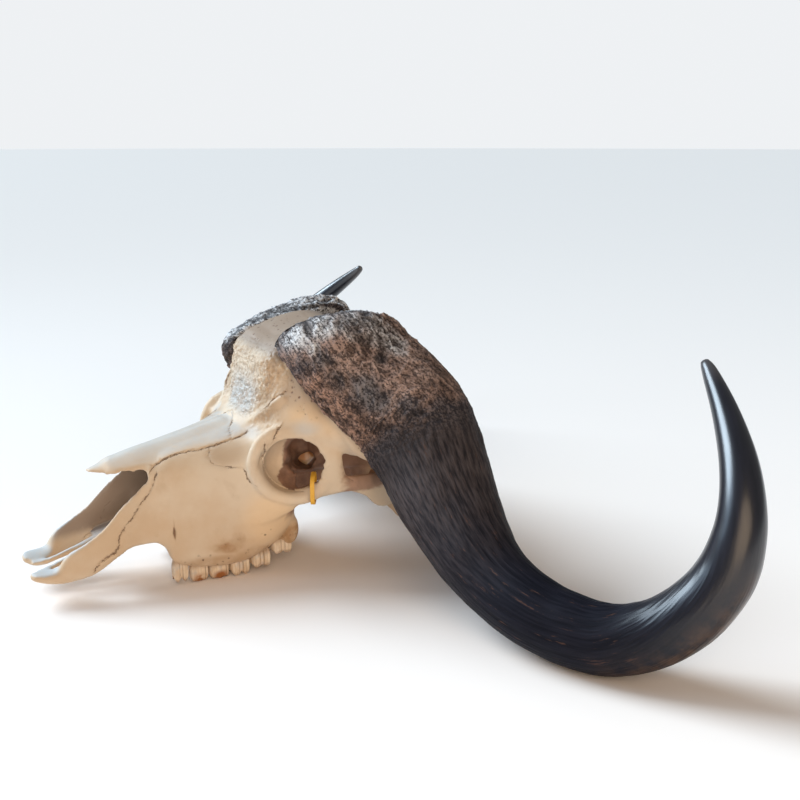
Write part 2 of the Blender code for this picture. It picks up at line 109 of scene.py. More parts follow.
# Bars, plates and rods: x, y, z of the middle line, half breadth and half height
PREMAXILLA = [
    (23, -129, 29, 3, 2.5),
    (25, -123, 28, 11, 4.5),
    (27, -113, 26.5, 13, 6),
    (31, -100, 27.5, 10.5, 8.5),
    (36, -86, 35.5, 6.5, 15.5),
    (39, -69, 43.7, 4, 16.5),
    (39.5, -48, 57, 3.6, 17),
    (38.5, -25.5, 72, 3.6, 22.5),
    (38.5, -6, 79, 3.8, 31.5),
    (41, 14, 87, 4, 33),
]
PALATE_ROD = [
    (13, -122, 26, 3.5, 2.5),
    (9, -104, 29, 3.5, 3),
    (8, -80, 36, 4, 3.5),
    (9, -56, 43, 7, 4),
    (10, -30, 48, 10, 5),
]
PALATE_SHELF = [
    (20, -60, 42, 12, 2.5),
    (22, -42, 46, 19, 3),
    (22, -15, 49, 22, 4),
    (22, 20, 45, 22, 5),
]
NASAL = [
    (1.8, -64, 120, 2.4, 1.2),
    (4.2, -54, 121.3, 5.8, 2.1),
    (7.0, -47, 122.8, 8.4, 2.5),
    (9.8, -42.5, 124.4, 11.8, 2.8),
    (12.0, -35, 125.2, 13.2, 3.1),
    (13.8, -18, 128.2, 15.8, 3.8),
    (16, 10, 133, 18, 4.2),
    (17, 45, 140, 19, 5),
    (17, 82, 148, 19, 6),
]
EYE_RIM = [
    (78, 86, 134, 6, 6.5),
    (80, 98, 152, 6, 7),
    (86, 122, 158, 6, 7.5),
    (95, 146, 148, 6, 8),
    (101, 159, 122, 6, 8.5),
    (101, 150, 98.5, 6, 7.5),
    (95, 128, 87.5, 6, 6.5),
    (84, 99, 96, 6, 7),
    (79, 87, 116, 6, 6.5),
]
CHEEK_ARCH = [
    (74, 104, 80, 8, 18),
    (90, 134, 91, 7, 10),
    (101, 158, 96.5, 6, 8.5),
    (107, 180, 99, 5.5, 9),
    (106, 204, 93, 5.5, 14),
    (94, 226, 81, 8, 20),
    (74, 248, 84, 10, 24),
]
ARCH_UPRIGHT = [
    (98, 160, 148, 6, 9),
    (103, 164, 128, 5.5, 8),
    (105, 166, 104, 5.5, 9),
]
HORN_SEAT = [
    (20, 192, 214, 52, 34),
    (58, 198, 208, 58, 38),
    (92, 208, 184, 56, 42),
    (120, 218, 156, 48, 38),
    (138, 226, 140, 30, 24),
]
NECK_PROCESS = [
    (70, 242, 100, 10, 26),
    (70, 250, 72, 8, 22),
    (67, 258, 48, 6, 12),
    (64, 262, 33, 3, 4),
]
WING_PLATE = [
    (30, 132, 58, 3.5, 18),
    (28, 152, 80, 3, 14),
    (25, 178, 88, 3, 12),
    (24, 204, 88, 3, 10),
]
CHEEK_RIDGE = [
    (60, 62, 62, 5, 10),
    (76, 92, 70, 6, 12),
    (86, 120, 84, 6, 12),
]
BROW_RIDGE = [
    (36, 93, 154, 4, 3),
    (42, 99, 161.5, 5, 4.2),
    (50, 104, 167.3, 5, 4.8),
    (60, 109, 174.2, 5, 4.8),
    (68, 115, 182.4, 5, 5),
    (72, 123, 192, 5, 4),
]
LUMPS = [
    ((24, 292, 98), (17, 20, 18)),
    ((36, 236, 84), (13, 22, 16)),
    ((70, 258, 122), (16, 20, 26)),
    ((62, 128, 43.5), (8, 10.5, 18)),
]
MIDDLE_LUMPS = [
    ((0, 277, 198), (36, 12, 16)),
    ((0, 240, 86), (26, 60, 12)),
    ((0, 236, 82), (34, 52, 16)),
]
EYE_HOLLOW = [
    (120, 114, 126, 34, 31),
    (98, 121, 123.5, 31.5, 29),
    (82, 126, 122, 30, 27.5),
    (71, 130, 120, 26, 23),
    (63, 134, 118, 16, 13),
]
EYE_DEPTHS = [
    (94, 145, 126, 13, 16),
    (74, 147, 127, 19, 19),
    (54, 151, 125, 18, 18),
    (36, 155, 122, 13, 13),
    (24, 157, 120, 7, 7),
]
NOSE_HOLLOW = [
    (0, -34, 88, 34, 38),
    (0, -8, 90, 34, 38),
    (0, 30, 92, 34, 40),
    (0, 62, 94, 28, 34),
    (0, 88, 96, 14, 16),
]
THROAT_HOLLOW = [
    (0, 206, 56, 18, 12),
    (0, 172, 72, 19, 15),
    (0, 142, 74, 17, 13),
    (0, 112, 72, 12, 9),
]
BRAIN_HOLE = [
    (0, 330, 122, 19, 17),
    (0, 300, 120, 18, 16),
    (0, 272, 118, 16, 14),
    (0, 248, 118, 8, 7),
]
TEMPLE_HOLLOW = [
    (84, 150, 128, 15, 22),
    (86, 176, 118, 18, 24),
    (84, 204, 108, 18, 22),
    (84, 226, 98, 10, 10),
]

# The horns' rows have one half height above the middle line and another below it
LEFT_BOSS = [
    (43, 187, 246, 54, 14, 7),
    (53, 188, 244, 63, 27, 13),
    (72, 189, 235, 66, 39, 20),
    (98, 206, 209, 67, 38, 25),
    (128, 233, 173, 65, 49, 35),
]
RIGHT_BOSS = [
    (43, 178, 241, 60, 10, 7),
    (53, 179, 236, 71, 21, 14),
    (72, 186, 223, 78, 39, 24),
    (98, 205, 203, 74, 48, 30),
    (128, 229, 171, 64, 49, 38),
]
LEFT_SIDE = (0, 1, 0.09)
RIGHT_SIDE = (0, 1, 0.16)
LEFT_SQUARENESS = (2.1, 2)
RIGHT_SQUARENESS = (2.2, 2)
HORN = [
    (158, 240, 140, 60, 52, 44),
    (207, 237, 102, 51, 44.5, 43),
    (251, 235, 73.5, 42.5, 38.5, 38),
    (293, 239, 52.5, 35.5, 34.5, 34),
    (333, 249, 39.5, 33.5, 33, 33),
    (369, 267, 32.4, 32.5, 31.8, 31.7),
    (401, 287, 33, 31.2, 30.8, 30.8),
    (427, 309, 47, 29.2, 28.6, 28.6),
    (447, 328, 71.5, 28.6, 27, 27),
    (459, 344.5, 103, 26, 24.5, 24.5),
    (461, 354, 135, 22.2, 21, 21),
    (453, 363, 163, 18.8, 17.6, 17.6),
]
LEFT_TIP = [
    (433, 376, 190, 15.6, 15, 15),
    (399, 394, 218, 11.5, 11.5, 11.5),
    (364, 409.5, 242, 7.2, 7.5, 7.5),
    (350, 414, 252, 4, 4, 4),
]
RIGHT_TIP = [
    (435, 380, 190, 13.5, 13, 13),
    (403, 402, 219, 10.5, 10.5, 10.5),
    (366, 415, 244, 7, 7, 7),
    (349, 418, 255, 4, 4, 4),
]

# Rings of a tooth's hollow biting face: share of the crown's outline, and how deep it lies
BITING_FACE = [(0.93, 0.0), (0.84, 0.5), (0.70, 2.2), (0.5, 3.4), (0.3, 2.4), (0.12, 1.2)]

# Cheek teeth from front to back: name, length along the row, breadth, x of the outer wall,
# height of the biting edge, height of the gum, lobes, depth of the notch between them, brown wear
TOOTH_ROW_FRONT = 5.0
SOCKET_DEPTH = 9.0
TEETH = [
    ("premolar_2", 17.5, 12.0, 50.0, 2.0, 22.0, 2, 7.0, 0.1),
    ("premolar_3", 20.0, 15.0, 53.5, 0.0, 16.0, 1, 2.0, 0.8),
    ("premolar_4", 21.5, 18.0, 56.5, 0.0, 15.0, 1, 2.0, 1.0),
    ("molar_1", 22.0, 21.0, 59.5, 0.0, 17.0, 2, 5.0, 0.1),
    ("molar_2", 22.5, 22.0, 62.5, 5.5, 21.0, 2, 4.0, 0.1),
    ("molar_3", 23.5, 20.0, 64.5, 17.0, 32.0, 2, 4.0, 0.1),
]

# The first tooth on the right is broken off short, so its edge lies higher than its partner's
BROKEN_TOOTH = "premolar_2_right"
BROKEN_EDGE = 15.0

STRAP_CENTRE = (98.5, 141.5, 98)
STRAP_FACING = (0.475, 0.88, 0)
STRAP_RADIUS = 15
STRAP_SQUARENESS = 3
STRAP_HALF_WIDTH = 2.3
STRAP_HALF_THICKNESS = 0.7

# A break in the thin wall between the eye socket and the middle of the head
SOCKET_BREAK = [
    (66, 142, 117, 3, 3),
    (56, 146, 114, 5, 4),
    (34, 156, 108, 5.5, 4.5),
    (6, 170, 100, 8, 6.5),
    (-14, 172, 100, 12, 9),
    (-44, 154, 110, 15, 12),
    (-72, 138, 118, 18, 14),
]

# How far above or below the bone's surface a seam's line may lie, and how near to a line the
# mesh is split once and then once more, in metres
SEAM_REACH = 0.005
SEAM_SPLITS = (0.0042, 0.0026)

# Seams where plates of bone have grown together, on the left side, in two sets whose lines
# never meet
SEAMS_A = [
    [
        (36, -9, 122),
        (32, -2, 126),
        (31, 7, 130),
        (31.4, 21, 134),
        (33.6, 33.6, 136),
        (37, 42, 136.5),
        (38, 50, 138.7),
        (41, 58, 140),
        (42, 66, 142.4),
        (45, 74, 144.8),
        (48.5, 83.6, 148.4),
        (49, 90, 152),
    ],
    [
        (39, -3, 119),
        (40.5, -6, 112),
        (41.4, -10, 104.6),
        (42.2, -14.6, 97.5),
        (42.6, -21.6, 89.3),
        (43, -27.3, 81),
        (43.2, -34.4, 72.8),
        (43.4, -41.2, 66.1),
        (43.8, -44.9, 60.1),
        (44.2, -45.6, 52.1),
        (44.2, -49.1, 46),
        (43.9, -56.9, 42),
        (43.7, -64.6, 38),
        (43, -70, 31),
    ],
    [(60, 109, 176), (63.4, 110.8, 179.4), (66.3, 116.2, 187.3), (71, 121, 191.4), (72, 125, 195)],
    [(87, 105, 152), (87.4, 107, 158.2), (86, 111.3, 163.2)],
    [(84, 96, 147), (77, 98.5, 135.6), (77, 95, 132)],
    [(66, 262, 130), (60, 250, 160), (52, 268, 180), (36, 284, 190), (0, 288, 196)],
]
SEAMS_B = [
    [(44, 75, 146), (38, 77, 149), (28, 78.5, 151.5), (19, 84.5, 155), (8, 90, 160), (0, 92, 162)],
    [
        (40.2, 53, 138.4),
        (44.8, 50, 132.6),
        (48.7, 49.8, 127.5),
        (52, 52.6, 124),
        (56.2, 59.2, 122.8),
        (62.7, 69.2, 121),
        (67, 75.8, 121.3),
        (71.2, 79.5, 117),
        (72.9, 80, 111.5),
        (75, 82, 107),
        (82, 88, 105),
    ],
    [(90, 134, 181), (92.5, 135.5, 178), (95, 136.5, 175.9)],
    [(0, -40, 44), (0, 20, 40), (0, 90, 44)],
    [(109, 176, 108), (110, 180, 103), (107, 184, 99)],
    [(77, 95, 131), (68, 102, 110), (74, 109.5, 100), (83.5, 122, 94), (95, 131, 95)],
]

# Dark patches on the left boss: centre and radius
DARK_PATCHES = [
    ((110, 148, 232), 17),
    ((124, 156, 212), 15),
    ((142, 181, 208), 22),
    ((152, 187, 196), 20),
    ((127, 205, 230), 11),
    ((171, 214, 190), 20),
    ((176, 244, 190), 14),
    ((141, 168, 190), 14),
    ((96, 135, 224), 15),
    ((84, 128, 218), 11),
]

# Bleached patches on the left boss's crest: dried-out fibres, painted lighter as well to stand in
# for the light that the boss's top lacks
FROST_AND_LIT_PATCHES = [
    ((72, 124, 238), 18),
    ((80, 136, 252), 24),
    ((88, 160, 266), 28),
    ((98, 188, 266), 30),
    ((104, 208, 262), 34),
    ((116, 224, 250), 30),
    ((98, 146, 243), 12),
]

# A slit in the side of the upper jaw, where a nerve came out: centre and radii
NERVE_SLIT = ((50.3, 9, 57.5), (9, 1.7, 7.5))

# Edges of zones, each as two rows: the crumbly brow's outer edge (z and x), the boss's lower edge
# (x and z), the front and the outer edge of the painted shade on an eye socket's wall (z and y,
# y and x), and the outer edge of the nasal bones (y and x)
BROW_EDGE = ([150, 165, 180, 200, 240], [24, 34, 52, 68, 74])
BOSS_EDGE = ([40, 68, 95, 123, 135, 150], [236, 213, 207, 184, 166, 150])
SOCKET_FRONT = ([96, 104, 112, 126], [117, 115, 124, 126])
SOCKET_OUTER = ([114, 130, 146, 160], [76, 90, 99, 98])
NASAL_EDGE = ([-10, 33, 58, 90, 100], [30, 33, 41, 46, 30])

# Where the left side's mesh is made finer: the eye socket, the nerve slit and the cheek arch
FINE_ZONES = [
    ((96, 122, 122), (44, 52, 48)),
    ((50, 9, 58), (14, 12, 18)),
    ((112, 188, 104), (22, 26, 24)),
]

# Zones on both sides: centre, radii and strength. Stains, grease and speckles are the bone's own
# colour; the highlight spots are painted highlight and the shaded spots painted shade
STAINED = [
    ((64, 61, 36.5), (18, 18, 8.5), 1),
    ((66, 71, 43), (14, 8, 9), 0.8),
    ((60, 48, 22), (20, 62, 9), 0.5),
    ((64, 92, 26), (18, 34, 12), 0.5),
]
# Painted highlight: bluish-white spots on the front of the brow and the upper rim of the eye
# socket, where the light falls
HIGHLIGHT_SPOTS = [
    ((58, 90, 156), (18, 14, 12), 0.5),
    ((92, 140, 162), (18, 24, 12), 0.5),
]
GREASY = [
    ((80, 104, 66), (34, 44, 44), 1),
    ((60, 120, 40), (40, 30, 30), 0.6),
    ((50, 70, 136), (20, 22, 18), 0.7),
    ((62, 109, 184), (22, 16, 18), 0.7),
    ((108, 170, 170), (30, 40, 26), 0.6),
    ((92, 138, 176), (28, 26, 22), 0.9),
]
# Painted shade: darker brown on the lacrimal bone and the brow ridge, to dim where the light falls
# strongly
SPOT_SHADE = [
    ((38, 80, 150), (24, 28, 18), 1),
    ((61, 107, 180), (26, 20, 26), 1),
    ((52, 68, 136), (24, 32, 22), 1),
]
SPECKLED = [
    ((66, 40, 24), (22, 62, 12), 0.6),
    ((76, 98.5, 51), (10, 7, 9), 1),
]

# Distance between a horn's rings, finest on the boss: from, to and spacing
RING_SPACING = [
    (0.2, 229, 1.35),
    (230, 538, 2.6),
    (541, math.inf, 4.2),
]

# Tones that the settings don't hold
BONE_TONES = {
    "blotch": (0.46, 0.30, 0.17),
    "greasy": (0.80, 0.56, 0.33),
    "spot_shade": (0.42, 0.30, 0.20),
    "stain": (0.40, 0.22, 0.10),
    "crumbly": (0.40, 0.28, 0.19),
    # Painted shade in the hollows of the brow's relief
    "hollow_shade": (0.40, 0.27, 0.18),
    # Painted shade on the roof between the bosses
    "roof": (0.17, 0.135, 0.112),
    # Painted shade inside the nose
    "nose": (0.29, 0.22, 0.18),
    # Painted shade on the walls inside the eye sockets and temple hollows, mottled brown
    "deep": ((0.19, 0.10, 0.068), (0.38, 0.215, 0.145)),
    # Painted light, on the far wall that shows through the break behind the eye socket
    "window": ((0.95, 0.75, 0.50), (0.80, 0.42, 0.17)),
    "collar": (0.38, 0.27, 0.19),
    "pore": (0.16, 0.09, 0.055),
    "crack": (0.17, 0.080, 0.045),
}
HORN_TONES = {
    "shaft": ((0.0030, 0.0034, 0.0080), (0.0105, 0.0108, 0.0185)),
    "upper": ((0.018, 0.015, 0.017), (0.082, 0.066, 0.065)),
    "fleck": (0.12, 0.06, 0.04),
    # Painted warm light from the fill lamp, on the shaft's outer curve where it faces down
    "fill_lit_curve": (0.11, 0.06, 0.035),
    "worn": ((0.028, 0.025, 0.029), (0.140, 0.114, 0.112)),
    "brown_base": (0.096, 0.064, 0.054),
    # Dried fibres, partly painted light on the boss tops
    "dry_and_lit_base": (0.10, 0.092, 0.092),
    # Painted shade in the hollows of the bosses' relief
    "hollow_shade_tone": (0.014, 0.011, 0.011),
    "tip": (0.14, 0.13, 0.13),
}
TOOTH_TONES = {
    "streak": (0.70, 0.53, 0.36),
    "grey": (0.50, 0.50, 0.52),
    # Painted shade in the grooves between a tooth's lobes
    "groove": (0.26, 0.15, 0.08),
    "gum": (0.36, 0.21, 0.11),
    "wear": (0.36, 0.125, 0.03),
    "bite": (0.24, 0.12, 0.06),
}
STRAP_SHADE = (0.70, 0.34, 0.03)
FLOOR_SHADE = (0.85, 0.78, 0.72)
ROOM_COLOUR = (0.86, 0.88, 0.90)

# The camera's place, in the tables' millimetres, and the way that it looks
CAMERA_PLACE = (987.1, -238.4, 447.9)
CAMERA_AIM = (-0.8500, 0.4593, -0.2581)

# The daylight's direction, breadth in degrees, strength and colour
DAYLIGHT = ((1.5, 1.0, -1.3), 35, 4.3, (0.72, 0.87, 1.0))

# Round lamps: name, place, what they face, size in metres, watts and colour
LAMPS = [
    ("warm_fill", (2.3, -0.6, 1.1), (0.05, 0.0, 0.12), 2.2, 30, (1.0, 0.77, 0.55)),
    ("sky_window", (-0.7, -1.6, 1.4), (0.3, 0.15, 0.15), 1.3, 12, (0.55, 0.76, 1.0)),
]


def in_metres(points):
    return (np.asarray(points, float) - [0, ORIGIN_BEHIND_TEETH, 0]) * MM


def unit(vectors):
    return vectors / np.maximum(np.linalg.norm(vectors, axis=-1, keepdims=True), 1e-12)


def smooth_rows(rows, steps):
    """A smooth curve through the rows, with that many steps from each row to the next."""
    rows = np.array(rows, float)
    before = np.vstack([2 * rows[0] - rows[1], rows[:-1]])
    after = np.vstack([rows[1:], 2 * rows[-1] - rows[-2]])
    slopes = (after - before) / 2
    t = (np.arange(steps) / steps)[None, :, None]
    a, b = rows[:-1, None], rows[1:, None]
    curve = (
        (2 * t**3 - 3 * t**2 + 1) * a
        + (t**3 - 2 * t**2 + t) * slopes[:-1, None]
        + (3 * t**2 - 2 * t**3) * b
        + (t**3 - t**2) * slopes[1:, None]
    )
    return np.vstack([curve.reshape(-1, rows.shape[1]), rows[-1:]])


def smooth_loop(rows, steps):
    rows = np.array(rows, float)
    around = np.vstack([rows[-2:], rows, rows[:3]])
    return smooth_rows(around, steps)[2 * steps : (2 + len(rows)) * steps]


def fade(value, low, high):
    """0 below low, 1 above high and smooth between, also where low is the higher one."""
    t = np.clip((value - low) / (high - low), 0, 1)
    return t * t * (3 - 2 * t)


def band(value, low, full, less, none):
    """0 below low, 1 from full to less, and 0 again above none."""
    return fade(value, low, full) * (1 - fade(value, less, none))


def near(points, centre, radii):
    """1 at the centre of an egg-shaped zone, in millimetres, falling to 0 at its edge."""
    centre = in_metres(centre)
    reach = np.linalg.norm((points - centre) / (np.array(radii) * MM), axis=1)
    return 1 - fade(reach, 0.35, 1.0)


def near_both(points, centre, radii):
    """The same for a zone and its mirror image on the other side."""
    return near(np.column_stack([np.abs(points[:, 0]), points[:, 1:]]), centre, radii)


def strongest(points, zones):
    """The strongest of several zones, each of which lies on both sides."""
    return np.max([near_both(points, *zone[:2]) * zone[2] for zone in zones], axis=0)


def cell_hash(cells, seed):
    n = cells[..., 0] * 73856093 ^ cells[..., 1] * 19349663 ^ cells[..., 2] * 83492791
    n = (n + seed * 974634777) & 0x7FFFFFFF
    n = ((n ^ (n >> 13)) * 1274126177) & 0x7FFFFFFF
    return n ^ (n >> 16)


def noise(points, size, seed=0):
    """Smooth noise from about -1 to 1, with bumps about as wide as size."""
    place = np.asarray(points, float) / size
    cell = np.floor(place).astype(np.int64)
    inside = place - cell
    blend = inside**3 * (inside * (inside * 6 - 15) + 10)
    total = np.zeros(len(place))
    for corner in np.ndindex(2, 2, 2):
        corner = np.array(corner)
        key = cell_hash(cell + corner, seed)
        turn = (key & 0xFFFF) / 0xFFFF * 2 * math.pi
        height = ((key >> 8) & 0xFFFF) / 0xFFFF * 2 - 1
        flat = np.sqrt(1 - height**2)
        offset = inside - corner
        slope = (
            offset[:, 0] * np.cos(turn) * flat
            + offset[:, 1] * np.sin(turn) * flat
            + offset[:, 2] * height
        )
        total += slope * np.prod(np.where(corner, blend, 1 - blend), axis=1)
    return total * 1.6


def drift(points, size, seed):
    """Smooth noise in all three directions, which bends a pattern out of line."""
    return np.stack([noise(points, size, seed + i) for i in range(3)], axis=-1)


def layers(points, size, count, seed=0):
    """Noise of several sizes, each half as wide and half as strong as the one before."""
    total = sum(noise(points, size / 2**i, seed + i) / 2**i for i in range(count))
    return total / (2 - 2.0 ** (1 - count))


def ridges(points, size, count, seed=0):
    """Noise with sharp crests, from 0 in the valleys to about 1."""
    total = 0
    for i in range(count):
        total = total + (1 - np.abs(noise(points, size / 2**i, seed + i))) ** 3 / 2**i
    return total / (2 - 2.0 ** (1 - count))


def pits(points, size, seed=0):
    """Distance to the nearest of many scattered points, in cells."""
    place = np.asarray(points, float) / size
    cell = np.floor(place).astype(np.int64)
    nearest = np.full(len(place), 9.0)
    for step in np.ndindex(3, 3, 3):
        other = cell + np.array(step) - 1
        key = cell_hash(other, seed)
        bits = np.stack([key & 1023, (key >> 10) & 1023, (key >> 20) & 1023], axis=-1)
        nearest = np.minimum(nearest, np.linalg.norm(place - (other + bits / 1023), axis=1))
    return nearest


def make_body(name, rings, closed):
    """A closed mesh object with a skin from ring to ring and a cap at each end."""
    rings = np.asarray(rings, float)
    count, sides = rings.shape[:2]
    index = np.arange(count * sides).reshape(count, sides)
    here = index if closed else index[:-1]
    there = np.roll(index, -1, axis=0) if closed else index[1:]
    quads = np.stack([here, np.roll(here, -1, axis=1), np.roll(there, -1, axis=1), there], axis=-1)
    faces = quads.reshape(-1, 4).tolist()
    if not closed:
        faces += [index[0, ::-1].tolist(), index[-1].tolist()]
    mesh = bpy.data.meshes.new(name)
    mesh.from_pydata(rings.reshape(-1, 3), [], faces)
    body = bpy.data.objects.new(name, mesh)
    bpy.context.scene.collection.objects.link(body)
    face_outwards(body)
    return body


def face_outwards(body):
    bm = bmesh.new()
    bm.from_mesh(body.data)
    bmesh.ops.recalc_face_normals(bm, faces=bm.faces)
    bm.to_mesh(body.data)
    bm.free()


def sweep_rings(path, side, sides, closed=False, squareness=2.0):
    """Rings of a bar along the path, its half breadth along side, and how far out each lies."""
    middle = path[:, :3]
    if closed:
        along = unit(np.roll(middle, -1, axis=0) - np.roll(middle, 1, axis=0))
    else:
        along = unit(np.gradient(middle, axis=0))
    side = np.broadcast_to(np.array(side, float), middle.shape)
    across = unit(side - along * (side * along).sum(1, keepdims=True))
    up = np.cross(along, across)
    turn = np.arange(sides) * 2 * math.pi / sides
    power = 2 / np.linspace(*np.broadcast_to(squareness, 2), len(path))[:, None]
    cos = np.sign(np.cos(turn)) * np.abs(np.cos(turn)) ** power
    sin = np.sign(np.sin(turn)) * np.abs(np.sin(turn)) ** power
    out = path[:, 3, None] * cos
    rise = np.where(sin > 0, path[:, 4, None], path[:, -1, None]) * sin
    rings = middle[:, None] + across[:, None] * out[..., None] + up[:, None] * rise[..., None]
    return rings, out, rise


def bar(name, rows, side, sides=20, steps=6, closed=False, squareness=2.0, mirrored=False):
    path = smooth_loop(rows, steps) if closed else smooth_rows(rows, steps)
    rings = sweep_rings(path, side, sides, closed, squareness)[0]
    if mirrored:
        rings = rings * [-1, 1, 1]
    return make_body(name, in_metres(rings), closed)


def both(name, rows, side, **shape):
    return [bar(name, rows, side, **shape), bar(name, rows, side, mirrored=True, **shape)]


def loft(name, stations, steps=6):
    """A body through half outlines that stand across the head, each mirrored to a whole one."""
    rows = []
    for y, outline in stations:
        half = smooth_rows(outline, 4)
        whole = np.vstack([half, (half * [-1, 1])[-2:0:-1]])
        rows.append(np.column_stack([whole[:, 0], np.full(len(whole), y), whole[:, 1]]).ravel())
    rings = smooth_rows(rows, steps).reshape(-1, len(whole), 3)
    return make_body(name, in_metres(rings), False)


def lump(name, centre, radii):
    bpy.ops.mesh.primitive_uv_sphere_add(
        segments=24, ring_count=14, radius=1, location=in_metres(centre)
    )
    body = bpy.context.object
    body.name = name
    body.scale = np.array(radii) * MM
    bpy.ops.object.transform_apply(location=True, rotation=True, scale=True)
    return body


def lean(degrees):
    angle = math.radians(degrees)
    return (math.cos(angle), 0, math.sin(angle))


def only(body):
    """Selects the body alone and makes it the active one."""
    bpy.ops.object.select_all(action="DESELECT")
    body.select_set(True)
    bpy.context.view_layer.objects.active = body
    return body


def join(name, bodies):
    only(bodies[0])
    for body in bodies:
        body.select_set(True)
    bpy.ops.object.join()
    bodies[0].name = name
    return bodies[0]


def apply_modifier(body, kind, **settings):
    only(body)
    modifier = body.modifiers.new(kind, kind)
    for key, value in settings.items():
        setattr(modifier, key, value)
    bpy.ops.object.modifier_apply(modifier=modifier.name)


def bone_forms():
    forms = [loft("face", FACE), loft("cranium", CRANIUM), loft("brow", BROW)]
    forms += both("premaxilla", PREMAXILLA, lean(8), squareness=2.6)
    forms += both("palate_rod", PALATE_ROD, lean(0))
    forms += both("palate_shelf", PALATE_SHELF, lean(0))
    forms += both("nasal", NASAL, lean(-27), squareness=2.4)
    forms += both("eye_rim", EYE_RIM, (0.95, -0.30, 0.09), closed=True)
    forms += both("cheek_arch", CHEEK_ARCH, (1, 0, 0))
    forms += both("arch_upright", ARCH_UPRIGHT, (1, 0, 0))
    forms += both("horn_seat", HORN_SEAT, (0, 1, 0))
    forms += both("neck_process", NECK_PROCESS, (1, 0, 0))
    forms += both("wing_plate", WING_PLATE, (1, 0, 0))
    forms += both("cheek_ridge", CHEEK_RIDGE, (1, 0, 0))
    forms += both("brow_ridge", BROW_RIDGE, (1, 0, 0))
    for centre, radii in LUMPS:
        forms.append(lump("lump", centre, radii))
        forms.append(lump("lump", (-centre[0], centre[1], centre[2]), radii))
    for centre, radii in MIDDLE_LUMPS:
        forms.append(lump("lump", centre, radii))
    return forms


def hollow_forms():
    forms = both("eye_hollow", EYE_HOLLOW, (0, 1, 0))
    forms += both("eye_depths", EYE_DEPTHS, (0, 1, 0))
    forms += both("temple_hollow", TEMPLE_HOLLOW, (1, 0, 0))
    forms += both("socket_break", SOCKET_BREAK, (0, 1, 0), squareness=1.3)
    forms.append(bar("nose_hollow", NOSE_HOLLOW, (1, 0, 0), squareness=2.8))
    forms.append(bar("throat_hollow", THROAT_HOLLOW, (1, 0, 0)))
    forms.append(bar("brain_hole", BRAIN_HOLE, (1, 0, 0)))
    return forms


def mesh_points(body):
    count = len(body.data.vertices)
    points = np.empty(count * 3, np.float32)
    normals = np.empty(count * 3, np.float32)
    body.data.vertices.foreach_get("co", points)
    body.data.vertices.foreach_get("normal", normals)
    return points.reshape(-1, 3).astype(float), normals.reshape(-1, 3).astype(float)


def set_points(body, points):
    body.data.vertices.foreach_set("co", np.asarray(points, np.float32).ravel())
    body.data.update()


def set_mask(body, name, values):
    attribute = body.data.attributes.new(name, "FLOAT", "POINT")
    attribute.data.foreach_set("value", np.asarray(values, np.float32))


def seam_fields(points, normals, lines):
    """Distance to the nearest line, plain and with a sign that changes across the line."""
    nearest = np.full(len(points), 0.05)
    signed = nearest.copy()
    for line in lines:
        for hand in (1, -1):
            path = in_metres(line) * [hand, 1, 1]
            for start, end in zip(path[:-1], path[1:]):
                along = end - start
                share = np.clip((points - start) @ along / (along @ along), 0, 1)
                gap = points - start - share[:, None] * along
                off = np.abs((gap * normals).sum(1))
                flat = np.linalg.norm(gap, axis=1) ** 2 - off**2
                distance = np.sqrt(np.maximum(flat, 0) + np.maximum(off - SEAM_REACH, 0) ** 2)
                side = (gap * np.cross(unit(along), normals)).sum(1)
                closer = distance < nearest
                nearest = np.where(closer, distance, nearest)
                signed = np.where(closer, np.where(side < 0, -distance, distance), signed)
    return nearest, signed


def refine(body, wanted):
    """Splits the edges between the wanted points of the mesh, where fine relief needs them."""
    bm = bmesh.new()
    bm.from_mesh(body.data)
    bm.verts.ensure_lookup_table()
    edges = [e for e in bm.edges if wanted[e.verts[0].index] and wanted[e.verts[1].index]]
    bmesh.ops.subdivide_edges(bm, edges=edges, cuts=1, use_grid_fill=True)
    bmesh.ops.triangulate(bm, faces=bm.faces)
    bm.to_mesh(body.data)
    bm.free()


def fold_sides(points):
    """The same points with the right side laid over the left one, in the tables' millimetres."""
    folded = points / MM + [0, ORIGIN_BEHIND_TEETH, 0]
    return np.abs(folded[:, 0]), folded[:, 1], folded[:, 2]


def rough_zone(points):
    """The crumbly bone of the brow, between the nose, the eye sockets and the bosses."""
    x, y, z = fold_sides(points)
    front = band(y, 86, 100, 128, 150) * fade(z, 152, 172) * (1 - fade(z, 220, 238))
    edge = np.interp(z, *BROW_EDGE)
    ragged = 7 * noise(points, 0.014, 81)
    zone = front * (1 - fade(x + ragged, edge - 14, edge + 10))
    return np.maximum(zone, 0.4 * near_both(points, (62, 104, 170), (34, 22, 28)))


def collar_zone(points):
    """The band of porous bone that runs along the lower edge of a boss."""
    x, y, z = fold_sides(points)
    above = z - np.interp(x, *BOSS_EDGE)
    return fade(above, -36, -16) * band(y, 112, 126, 190, 215)


def eye_wall(points):
    """How far out from an eye socket's middle, with 1 at its wall, and which way that is."""
    x, y, z = fold_sides(points)
    rows = np.array(EYE_HOLLOW)[::-1]
    middle_y, middle_z, reach_y, reach_z = (np.interp(x, rows[:, 0], c) for c in rows.T[1:])
    out = np.column_stack([np.zeros(len(x)), (y - middle_y) / reach_y, (z - middle_z) / reach_z])
    return np.linalg.norm(out, axis=1), unit(out)


def rag_hollows(hollows):
    """Ragged walls for the hollows, so that thin bone breaks off unevenly at their rims."""
    points, normals = mesh_points(hollows)
    x, y, _ = fold_sides(points)
    rear_rim = band(y, 120, 136, 160, 168) * fade(x, 58, 72)
    deep = (1 - fade(x, 70, 84)) * band(y, 126, 136, 210, 230)
    move = rear_rim * 1.8 * noise(points, 0.0052, 61) + deep * 4.2 * layers(points, 0.009, 2, 63)
    set_points(hollows, points + normals * (move * MM)[:, None])


